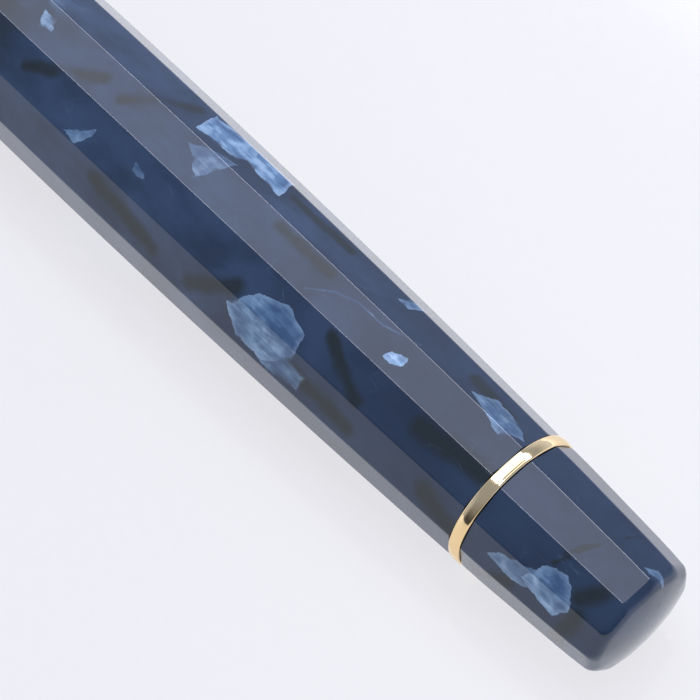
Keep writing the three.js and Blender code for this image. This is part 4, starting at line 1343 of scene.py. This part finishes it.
# %% [markdown]
# ## Stud
#
# A headed stud goes through the cap's end from inside, and holds the clip collar, the ring and the crown
# together. Its head has a round recess for the tool.
# %% Make the stud
STUD_ROUND = 0.2 * MM
RECESS = 0.35 * MM
RECESS_SHARE = 0.4
stud_tip, stud_head = span("crown_stud")
stud_radius = radii_at("crown_stud", stud_tip)[-1]
stud_top = outer("crown_stud")
head_back = widest("crown_stud")[0]
recess = RECESS_SHARE * stud_top
outline = [(stud_tip, 0, 0), (stud_tip, stud_radius, STUD_ROUND), (head_back, stud_radius, 0),
           (head_back, stud_top, BREAK), (stud_head, stud_top, STUD_ROUND), (stud_head, recess, 0),
           (stud_head - RECESS, recess, 0), (stud_head - RECESS, 0, 0)]
fit("crown_stud", turned(outline, closed=False), steel)

# %% [markdown]
# ## Cap
#
# The cap shell has the same twelve flats as the barrel, lined up with them. It narrows towards the crown
# along a power curve: hardly at all near its mouth, and faster near its end.
# %% Shape the cap's outside
CAP_TAPER_POWER = 2.4
cap_first, cap_last = span("cap_shell")
seat_start = span("band_ring_rear")[0]
seat_radius = radii_at("cap_shell", cap_last)[-1]
cap_end_corner = radii_at("cap_shell", cap_first)[-1]
lip_end = span("cap_lip")[1]
lip_corner = outer("cap_lip")


def cap_corner(x):
    share = (lip_end - x) / (lip_end - cap_first)
    return lip_corner - (lip_corner - cap_end_corner) * max(share, 0) ** CAP_TAPER_POWER


seat_corner = cap_corner(seat_start)
seat_rows = [(seat_start, seat_corner, seat_radius, EDGE),
             (cap_last - BREAK, seat_corner, seat_radius, EDGE),
             (cap_last, seat_corner, seat_radius - BREAK, EDGE)]
cap_outside = faceted(body_rows(cap_first, seat_start, cap_corner, *BODY_ENDS) + seat_rows)
print(f"cap seat {seat_radius / MM:.2f} mm in radius")

# %% [markdown]
# Inside are the female thread, a wide bore for the grip, a narrower one for the inner cap, and a hole for
# the stud. The thread is a finer grid than the bores need, but one grid all the way down needs no joint.
# %% Bore the cap
THREAD_LENGTH = 8.5 * MM
THREAD_DEPTH = 0.35 * MM
HEAD_SINK = 1.2 * MM
female_crest = radii_at("cap_shell", cap_last)[0]
female_root = female_crest + THREAD_DEPTH
thread_end = cap_last - THREAD_LENGTH
wide_end = grip_first + 2 * SLIDE
wide_bore = radii_at("cap_shell", wide_end)[-1]
cap_floor = span("spring_seat")[0] - SLIDE
cap_bore = radii_at("cap_shell", cap_floor)[-1]
head_room = stud_top + SLIDE
head_floor = stud_head - HEAD_SINK
stud_hole = stud_radius + GLUE
bores = [(thread_end, wide_bore), (wide_end, wide_bore), (wide_end, cap_bore), (cap_floor, cap_bore),
         (cap_floor, head_room), (head_floor, head_room), (head_floor, stud_hole), (cap_first, stud_hole)]
cap_inside = thread_rings(cap_last, thread_end, female_crest, female_root)
cap_inside += [ring_points(x, THREAD_TURN, r) for x, r in bores]
print(f"cap bores: thread {female_crest / MM:.2f}, wide {wide_bore / MM:.2f}, inner {cap_bore / MM:.2f} mm")

# %% [markdown]
# The outside has more points round it than the thread has, so the two are joined at each end by a strip
# of faces in which two outer points may share one inner point.
# %% Join the cap's outside to its inside
def bridge(dense, coarse, dense_start, coarse_start):
    """Faces between two rings with different numbers of points."""
    ratio = dense / coarse
    faces = []
    for i in range(dense):
        j = (i + 1) % dense
        there = [coarse_start + int(j // ratio), coarse_start + int(i // ratio)]
        faces.append(tuple(dict.fromkeys([dense_start + i, dense_start + j] + there)))
    return faces


outer_points, outer_faces = skin(cap_outside)
inner_points, inner_faces = skin(cap_inside)
offset = len(outer_points)
dense = len(cap_outside[0])
last_inner = offset + len(inner_points) - THREAD_SIDES
faces = outer_faces + [tuple(v + offset for v in face) for face in inner_faces]
faces += bridge(dense, THREAD_SIDES, offset - dense, offset) + bridge(dense, THREAD_SIDES, 0, last_inner)
fit("cap_shell", (np.concatenate([outer_points, inner_points]), faces), cap_celluloid)

# %% [markdown]
# ## Cap bands
#
# Four sleeves sit on the cap's turned seat: the celluloid lip, a fine gold ring, the wide gold band and a
# second fine ring. They are faceted like the cap, and the fine edges of the gold ones draw thin lines
# between them.
# %% Make the lip and the bands
SLEEVE_FIT = 0.02 * MM
FINE = (0.15 * MM, 0.18 * MM)
LIP_BACK = (0.3 * MM, 0.2 * MM)
LIP_MOUTH = (0.5 * MM, 0.35 * MM)


def sleeve(node, finish, start, end):
    """A faceted sleeve on the cap's seat. start and end are the roundings of its edges."""
    first, last = span(node)
    top = outer(node)
    hole = seat_radius + SLEEVE_FIT
    rows = body_rows(first, last, lambda x: top, start, end)
    rows += [(last, top, hole, EDGE), (first, top, hole, EDGE)]
    return fit(node, skin(faceted(rows), loop=True), finish)


sleeve("cap_lip", cap_celluloid, LIP_BACK, LIP_MOUTH)
for node in ("band_ring_front", "cap_band", "band_ring_rear"):
    sleeve(node, gold, FINE, FINE)

# %% [markdown]
# ## Cutting tools
#
# Slots, cross holes and fins are sawn or drilled, not turned. For those, a block or a rod is taken away
# from the finished form. Each tool is its own Boolean modifier, because tools that overlap in one mesh
# would spoil the cut.
# %% Cut blocks and rods out of a piece
def block(low, high):
    """Points and faces of a box between two corners."""
    points = [(x, y, z) for x in (low[0], high[0]) for y in (low[1], high[1]) for z in (low[2], high[2])]
    faces = [(0, 1, 3, 2), (4, 6, 7, 5), (0, 4, 5, 1), (2, 3, 7, 6), (0, 2, 6, 4), (1, 5, 7, 3)]
    return np.array(points), faces


def rod_along(start, end, radius, sides=48):
    """Points and faces of a rod between two places."""
    axis = (Vector(end) - Vector(start)).normalized()
    side = axis.orthogonal().normalized()
    other = axis.cross(side)
    rings = []
    for place, size in ((start, 0), (start, radius), (end, radius), (end, 0)):
        angles = np.linspace(0, 2 * math.pi, sides, endpoint=False) if size else [0]
        ring = [Vector(place) + size * (math.cos(a) * side + math.sin(a) * other) for a in angles]
        rings.append(np.array(ring))
    return skin(rings)


def cut(shape, tools, sharp=SHARP):
    """The shape with all the tools taken away, one after another."""
    body = make_object("body", *shape, sharp)
    cutters = [make_object("cutter", *tool, sharp) for tool in tools]
    for cutter in cutters:
        change = body.modifiers.new("cut", "BOOLEAN")
        change.object = cutter
        change.operation = "DIFFERENCE"
        change.solver = "EXACT"
    result = bpy.data.meshes.new_from_object(body.evaluated_get(bpy.context.evaluated_depsgraph_get()))
    body.modifiers.clear()
    body.data = result
    for cutter in cutters:
        bpy.data.objects.remove(cutter)
    result.set_sharp_from_angle(angle=sharp)
    print(f"cut {len(tools)} tools out: {len(result.vertices)} points")
    return body


print("tools: block and rod")

# %% [markdown]
# ## Nib
#
# The nib is one sheet of gold, rolled to a curve that is flattest at its shoulders and tightest at the
# point. Three smooth lines describe it: the height of its top, the radius of its roll and its half width.
# %% Draw the nib's lines
SECTION_END = grip_first
NIB_BACK_RADIUS = 3.0 * MM
NIB_FLATNESS = 4.6 * MM
NIB_TIP_HEIGHT = 1.3 * MM
NIB_TIP_CURVE = 1.15 * MM
NIB_CURVE_POWER = 0.9
SHOULDER = 4.5 * MM
SHOULDER_ROUND = 4 * MM
NIB_HALF_WIDTH = 3.7 * MM
NIB_TIP_HALF_WIDTH = 0.42 * MM
NIB_WAIST = 1.1 * MM
WAIST_FROM_TIP = 7 * MM
nib_low, nib_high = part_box("nib")
NIB_TIP = nib_low.x
nib_reach = SECTION_END - NIB_TIP


def nib_curve(x):
    """Height of the nib's top line above the axis and the radius of its sheet at x."""
    out = max(0.0, (SECTION_END - x) / nib_reach)
    shoulder = SHOULDER / nib_reach
    top = NIB_BACK_RADIUS - (NIB_BACK_RADIUS - NIB_TIP_HEIGHT) * out ** 2
    rise = math.sin(min(out, shoulder) / shoulder * math.pi / 2)
    fall = max(0.0, (out - shoulder) / (1 - shoulder))
    wide = NIB_BACK_RADIUS + (NIB_FLATNESS - NIB_BACK_RADIUS) * rise
    return top, wide - (wide - NIB_TIP_CURVE) * fall ** NIB_CURVE_POWER


def bezier(points, steps=200):
    """Points along a Bezier curve of any number of control points."""
    current = [np.array(p) for p in points]
    ts = np.linspace(0, 1, steps)
    count = len(current) - 1
    weights = [math.comb(count, i) * ts ** i * (1 - ts) ** (count - i) for i in range(count + 1)]
    return sum(w[:, None] * p[None, :] for w, p in zip(weights, current))


shoulder_x = SECTION_END - SHOULDER
side_line = bezier([(shoulder_x, NIB_HALF_WIDTH), (shoulder_x - SHOULDER_ROUND, NIB_HALF_WIDTH),
                    (NIB_TIP + WAIST_FROM_TIP, NIB_WAIST), (NIB_TIP, NIB_TIP_HALF_WIDTH)])


def nib_half_width(x):
    if x >= shoulder_x:
        return NIB_HALF_WIDTH
    return float(np.interp(x, side_line[::-1, 0], side_line[::-1, 1]))


print(f"nib stands {nib_reach / MM:.1f} mm out of the grip")

# %% [markdown]
# Across the nib, each section is a closed loop: over the top from side to side, round the edge, and back
# underneath at the sheet's thickness. Both end loops are closed by faces across the sheet.
# %% Roll the nib's sheet
NIB_SHEET = 0.35 * MM
NIB_EDGE = 0.06 * MM
NIB_WRAP = 0.4 * MM
NIB_ROWS = 90
NIB_PLACES = np.sin(np.linspace(-math.pi / 2, math.pi / 2, 33))


def nib_ring(x):
    """A closed loop round the sheet's section: over the top and back underneath."""
    top, radius = nib_curve(x)
    wrap_angle = math.acos(max(-1.0, (radius - top - NIB_WRAP) / radius))
    width = nib_half_width(x)
    limit = math.asin(width / radius) if width < radius else math.pi
    reach = min(limit, wrap_angle)
    beyond = reach + NIB_EDGE / radius
    over = [(radius, a) for a in NIB_PLACES * reach]
    under = [(radius - NIB_SHEET, a) for a in NIB_PLACES[::-1] * reach]
    far = [(radius - NIB_SHEET / 2, beyond)]
    near = [(radius - NIB_SHEET / 2, -beyond)]
    return np.array([(x, r * math.sin(a), AXIS_Z + top - radius + r * math.cos(a))
                     for r, a in over + far + under + near])


nib_rings = [nib_ring(x) for x in np.linspace(nib_high.x, NIB_TIP, NIB_ROWS + 1)]
points, faces = skin(nib_rings)
size = len(nib_rings[0])
half = len(NIB_PLACES)
for start in (0, len(points) - size):
    for i in range(half - 1):
        faces.append((start + i, start + i + 1, start + 2 * half - i - 1, start + 2 * half - i))
    faces.append((start + half - 1, start + half, start + half + 1))
    faces.append((start, start + 2 * half, start + 2 * half + 1))
print("nib sheet:", len(points), "points")

# %% [markdown]
# The nib is slit from the breather hole to the tip, so that ink runs down to the paper.
# %% Slit and pierce the nib
BREATHER_X = SECTION_END - 9 * MM
BREATHER = 0.6 * MM
SLIT = 0.12 * MM
NIB_SHARP = math.radians(35)
high_up = AXIS_Z + 2 * NIB_BACK_RADIUS
slit = block((NIB_TIP - MM, -SLIT / 2, AXIS_Z), (BREATHER_X, SLIT / 2, high_up))
hole = rod_along((BREATHER_X, 0, AXIS_Z), (BREATHER_X, 0, high_up), BREATHER)
fit("nib", cut((points, faces), [slit, hole], NIB_SHARP), gold)

# %% [markdown]
# A bead of hard metal is welded under the point, and is what wears on the paper.
# %% Make the writing bead
BEAD_STEPS = 24
bead_low, bead_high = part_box("nib_tipping")
bead_radius = (bead_high.x - bead_low.x) / 2
bead_middle = bead_low.x + bead_radius
bead_rows = []
for i in range(BEAD_STEPS + 1):
    angle = math.pi * i / BEAD_STEPS
    bead_rows.append((bead_middle - bead_radius * math.cos(angle), bead_radius * math.sin(angle), 0))
points, faces = turned(bead_rows, closed=False)
points[:, 2] += (bead_low.z + bead_high.z) / 2 - AXIS_Z
fit("nib_tipping", (points, faces), steel)

# %% [markdown]
# ## Feed
#
# The feed below the nib is a black rod that follows the underside of the nib's top line, with a slanted
# tip. A channel for ink is sawn along its top, and a row of saw cuts across its belly leaves thin fins
# that hold spare ink.
# %% Make the feed
UNDER_NIB = NIB_SHEET + GLUE
FEED_STEPS = 30
FEED_BEVEL = 1.5 * MM
FEED_TIP_RADIUS = 0.95 * MM
FEED_TIP_ROUND = 0.2 * MM
FIN_COUNT = 8
FIN_PITCH = 0.95 * MM
FIN_GAP = 0.4 * MM
FIN_TOP = -1.0 * MM
FIN_REACH = 5 * MM
CHANNEL = 0.6 * MM
CHANNEL_FLOOR = 0.7 * MM
feed_tip, feed_back = span("feed")
outline = [(feed_back, 0, 0), (feed_back, NIB_BACK_RADIUS - UNDER_NIB, BREAK)]
for x in np.linspace(SECTION_END, feed_tip + FEED_BEVEL, FEED_STEPS + 1):
    outline.append((x, nib_curve(x)[0] - UNDER_NIB - SLIDE / 2, 0))
outline += [(feed_tip, FEED_TIP_RADIUS, FEED_TIP_ROUND), (feed_tip, 0, 0)]
channel_low = (feed_tip - MM, -CHANNEL / 2, AXIS_Z + CHANNEL_FLOOR)
tools = [block(channel_low, (feed_back + MM, CHANNEL / 2, high_up))]
for i in range(FIN_COUNT):
    x = SECTION_END - MM - FIN_PITCH * i
    tools.append(block((x - FIN_GAP, -FIN_REACH, AXIS_Z - FIN_REACH), (x, FIN_REACH, AXIS_Z + FIN_TOP)))
fit("feed", cut(turned(outline, closed=False), tools), ebonite)

# %% [markdown]
# ## Clip
#
# The clip is a springy strip of gold-plated metal. It springs from a lug on the collar, bows away from
# the cap, and ends in a fork that holds a small steel pin with a gold roller, which lets the clip glide
# over cloth. Its upper and lower lines are Bezier curves, which bow as a bent strip does.
# %% Draw the clip's lines
CLIP_THICKNESS = 0.9 * MM
CLIP_BOW = 3.0 * MM
FORK = 3.0 * MM
roller_low, roller_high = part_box("clip_roller")
roller_x = (roller_low.x + roller_high.x) / 2
roller_z = (roller_low.z + roller_high.z) / 2
roller_radius = (roller_high.x - roller_low.x) / 2
roller_half = (roller_high.y - roller_low.y) / 2
arm_low, arm_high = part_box("clip_arm")
collar_low, collar_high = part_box("clip_collar")
CHEEK = arm_high.x - roller_x
fork_start = roller_x - FORK
over = roller_z + CHEEK
root_z = arm_low.z
root_top = root_z + CLIP_THICKNESS
middle_x = (collar_high.x + roller_x) / 2
under_line = bezier([(collar_high.x, root_z), (middle_x, root_z + CLIP_BOW),
                     (fork_start, over - CLIP_THICKNESS)])
over_line = bezier([(arm_low.x, root_top), (middle_x, root_top + CLIP_BOW), (roller_x, over)])


def arm_under(x):
    if x <= collar_high.x:
        return root_z
    if x <= fork_start:
        return float(np.interp(x, under_line[:, 0], under_line[:, 1]))
    if x <= roller_x - CHEEK:
        share = (x - fork_start) / (FORK - CHEEK)
        return over - CLIP_THICKNESS + (roller_z - over + CLIP_THICKNESS) * share
    return roller_z - math.sqrt(max(CHEEK ** 2 - (x - roller_x) ** 2, 0))


def arm_over(x):
    if x <= roller_x:
        return float(np.interp(x, over_line[:, 0], over_line[:, 1]))
    return roller_z + math.sqrt(max(CHEEK ** 2 - (x - roller_x) ** 2, 0))


print(f"clip bows {CLIP_BOW / MM:.1f} mm, roller {roller_radius / MM:.2f} mm in radius")

# %% [markdown]
# The arm is a little narrower in the middle, and its long edges are rounded off. Each section is an
# oblong with an arc at each corner. The rows follow the round cheek closely, where the outline turns.
# %% Build the clip's arm
WAIST_SHARE = 0.8
ARM_ROWS = 96
ARM_EDGE = 0.24 * MM
EDGE_ARC = 5
CHEEK_ROWS = 28
CHEEK_END = 0.9995
ROOT_END = 0.93
clip_half_width = (arm_high.y - arm_low.y) / 2


def arm_ring(x):
    """A rounded oblong section of the arm at x."""
    low, high = arm_under(x), arm_over(x)
    along = (x - arm_low.x) / (fork_start - arm_low.x)
    narrow = math.sin(math.pi * min(max(along, 0), 1)) ** 2
    half = clip_half_width * (1 - (1 - WAIST_SHARE) * narrow)
    edge = min(ARM_EDGE, 0.48 * max(high - low, 1e-6))
    across, up, down = half - edge, high - edge, low + edge
    arcs = ((across, up, 0), (across, down, 90), (-across, down, 180), (-across, up, 270))
    ring = []
    for y, z, start in arcs:
        for k in range(EDGE_ARC + 1):
            a = math.radians(start + 90 * k / EDGE_ARC)
            ring.append((x, y + edge * math.sin(a), z + edge * math.cos(a)))
    return np.array(ring)


root_xs = [arm_low.x, arm_low.x + 0.1 * MM]
arm_xs = list(np.linspace(arm_low.x + 0.3 * MM, roller_x - CHEEK, ARM_ROWS))
cheek_turn = np.linspace(-math.pi / 2, math.pi / 2, CHEEK_ROWS + 1)[1:-1]
cheek_xs = [roller_x + CHEEK * math.sin(a) for a in cheek_turn] + [roller_x + CHEEK * CHEEK_END]
arm_rings = [arm_ring(x) for x in root_xs + arm_xs + cheek_xs]
middle = arm_rings[0].mean(axis=0)
arm_rings[0][:, 1:] = middle[1:] + (arm_rings[0][:, 1:] - middle[1:]) * ROOT_END
arm_points, arm_faces = skin(arm_rings)
size = len(arm_rings[0])
arm_faces += [tuple(range(size)), tuple(range(len(arm_points) - size, len(arm_points)))]
print("clip arm:", len(arm_points), "points")

# %% [markdown]
# A slot through the end makes the fork, and a cross hole takes the roller's pin.
# %% Cut the fork
CLIP_SHARP = math.radians(30)
pin_radius = 0.45 * MM
room = roller_radius + SLIDE
slot_half = roller_half + SLIDE
slot_low = (roller_x - room, -slot_half, roller_z - 4 * room)
slot = block(slot_low, (roller_x + room, slot_half, roller_z + 4 * room))
hole = rod_along((roller_x, -4 * MM, roller_z), (roller_x, 4 * MM, roller_z), pin_radius + GLUE)
fit("clip_arm", cut((arm_points, arm_faces), [slot, hole], CLIP_SHARP), gold)

# %% [markdown]
# ## Roller and pin
#
# The roller is a small wheel with a crowned rim and dished faces, and its pin has low domed ends. Both
# are turned about the pen's axis, and then laid across it.
# %% Make the roller and its pin
HUB_DISH = 0.12 * MM
HUB_RIM = 0.25 * MM
DISH_EDGE = 0.4 * MM
RIM_ROUND = 0.05 * MM
RIM_DROP = 0.28 * MM
RIM_ANGLE = math.radians(60)
RIM_STEPS = 12
PIN_DOME = 0.12 * MM


def crosswise(shape):
    """Turns a piece made about the pen's axis so that it lies across the pen, on the roller's axis."""
    points, faces = shape
    placed = np.column_stack([roller_x + points[:, 1], points[:, 0], roller_z + points[:, 2] - AXIS_Z])
    return placed, faces


hub = pin_radius + SLIDE / 2


def roller_face(side, rim_drop):
    """Outline of a dished face from its bore to its rim. side is -1 or 1."""
    flat, dish = side * roller_half, side * (roller_half - HUB_DISH)
    return [(flat, hub, 0), (flat, hub + HUB_RIM, 0), (dish, hub + DISH_EDGE, 0),
            (dish, roller_radius - DISH_EDGE, 0), (flat, roller_radius - rim_drop, RIM_ROUND)]


rim = []
for i in range(RIM_STEPS + 1):
    angle = RIM_ANGLE * (2 * i / RIM_STEPS - 1)
    drop = RIM_DROP * (1 - math.cos(angle)) / (1 - math.cos(RIM_ANGLE))
    rim.append((roller_half * 0.98 * math.sin(angle) / math.sin(RIM_ANGLE), roller_radius - drop, 0))
outline = roller_face(-1, 0.25 * MM) + rim + roller_face(1, 0.3 * MM)[::-1]
fit("clip_roller", crosswise(turned(outline)), gold)

pin_low, pin_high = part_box("roller_pin")
pin_half = (pin_high.y - pin_low.y) / 2
pin_end = [(-pin_half, 0, 0), (-pin_half + PIN_DOME * 0.15, pin_radius * 0.5, 0),
           (-pin_half + PIN_DOME, pin_radius, RIM_ROUND)]
fit("roller_pin", crosswise(turned(mirrored(pin_end), closed=False)), steel)

# %% [markdown]
# ## Clip collar
#
# The collar is a washer under the crown ring, with a square lug for the clip arm. At each angle its edge
# is the further one of a circle and a square, and points are added just beside the lug's corners.
# %% Make the clip collar
LUG_REACH = 1.2
BESIDE = ((1, -0.03), (1, 0.015), (0, 0.01))
lug_top = collar_high.z - AXIS_Z
washer = AXIS_Z - collar_low.z
collar_hole = inner("clip_collar")
lug_corner = math.atan2(clip_half_width, lug_top)
lug_foot = math.asin(clip_half_width / washer)
marks = [lug_corner, lug_foot] + [lug_corner * at + lug_foot * (1 - at) + by for at, by in BESIDE]
collar_turn = np.concatenate([TURN - math.pi, marks, [-m for m in marks]])
collar_turn = np.array(sorted(set(np.round(collar_turn, 5))))


def collar_radius(angle, inset):
    wide, tall, round_part = clip_half_width - inset, lug_top - inset, washer - inset
    if abs(angle) > LUG_REACH:
        return round_part
    along_side = wide / max(abs(math.sin(angle)), TINY)
    return max(round_part, min(tall / math.cos(angle), along_side))


def collar_ring(x, inset):
    return ring_points(x, collar_turn, np.array([collar_radius(a, inset) for a in collar_turn]))


rings = [collar_ring(collar_low.x, BREAK), collar_ring(collar_low.x + BREAK, 0),
         collar_ring(collar_high.x - BREAK, 0), collar_ring(collar_high.x, BREAK)]
rings += [ring_points(x, collar_turn, collar_hole) for x in (collar_high.x, collar_low.x)]
fit("clip_collar", skin(rings, loop=True), gold)
print("pieces made:", len(made), "of", len(frame["nodes"]))

# %% [markdown]
# ## Light
#
# One broad soft box hangs over the pen, with a narrow bright strip along each side. Polished flats are
# mirrors, so what is drawn here is mostly what they see: the box fills the topmost flat with a pale
# sheen, and the strips are what the thin polished edges pick out as bright lines. The strips only shine
# in reflections, so they do not add to the light on the floor. All three lie along the pen, placed by
# the angle at which they stand round its axis.
# %% Hang the lights
LIGHT_HEIGHT = 0.7
LIGHT_COLOUR = (0.97, 1.0, 1.12)


def strip(name, from_angle, to_angle, start, end, radiance, glossy_only=False):
    """A flat light over the pen. Angles are degrees round the axis from straight up, towards -Y."""
    angles = [math.tan(math.radians(a)) for a in (from_angle, to_angle)]
    y_low, y_high = sorted(-LIGHT_HEIGHT * a for a in angles)
    x_low, x_high = LIGHT_HEIGHT * start, LIGHT_HEIGHT * end
    light = bpy.data.lights.new(name, "AREA")
    light.shape = "RECTANGLE"
    light.size = x_high - x_low
    light.size_y = y_high - y_low
    light.color = LIGHT_COLOUR
    light.energy = radiance * math.pi * light.size * light.size_y
    lamp = bpy.data.objects.new(name, light)
    bpy.context.scene.collection.objects.link(lamp)
    lamp.location = (ring_low.x + (x_low + x_high) / 2, (y_low + y_high) / 2, AXIS_Z + LIGHT_HEIGHT)
    lamp.visible_camera = False
    if glossy_only:
        lamp.visible_diffuse = False
    return lamp


strip("soft box", 7, -34, -1.3, 0.06, 1.6)
strip("near strip", 16, 7.5, -1.3, 0.06, 9, glossy_only=True)
strip("far strip", -34.5, -45, -1.3, 0.06, 9, glossy_only=True)

print("three lights,", LIGHT_HEIGHT, "m over the pen")

# %% [markdown]
# ## Room
#
# The low flats see the room and not the lights: brighter near the horizon than above, and dark on the
# near side, where nothing reflects. It is a gradient by direction, so it costs no geometry.
# %% Surround the pen with a room
HORIZON = (0.68, 0.76, 0.97, 1)
CEILING = (0.32, 0.36, 0.46, 1)
DARK_SIDE = (0.06, 0.065, 0.08, 1)
world = bpy.data.worlds.new("studio")
world.use_nodes = True
world.node_tree.nodes.clear()
sky = Wire(world.node_tree)
direction = sky.node("ShaderNodeTexCoord", output="Generated")
height = direction.node("ShaderNodeSeparateXYZ", None, {0: direction}, output=2)
glow = height.share(0.05, 0.6).colour(HORIZON, CEILING)
near_side = direction.dot((0.35, -0.94, 0)).share(0.35, 0.8) * (1 - height.share(0.1, 0.75))
glow = near_side.colour(glow, DARK_SIDE)
shade = sky.node("ShaderNodeBackground", None, {"Color": glow, "Strength": 1.0})
world_output = world.node_tree.nodes.new("ShaderNodeOutputWorld")
world.node_tree.links.new(shade.socket, world_output.inputs["Surface"])
bpy.context.scene.world = world
bpy.context.scene.view_settings.view_transform = "Standard"
print("room:", len(world.node_tree.nodes), "nodes")
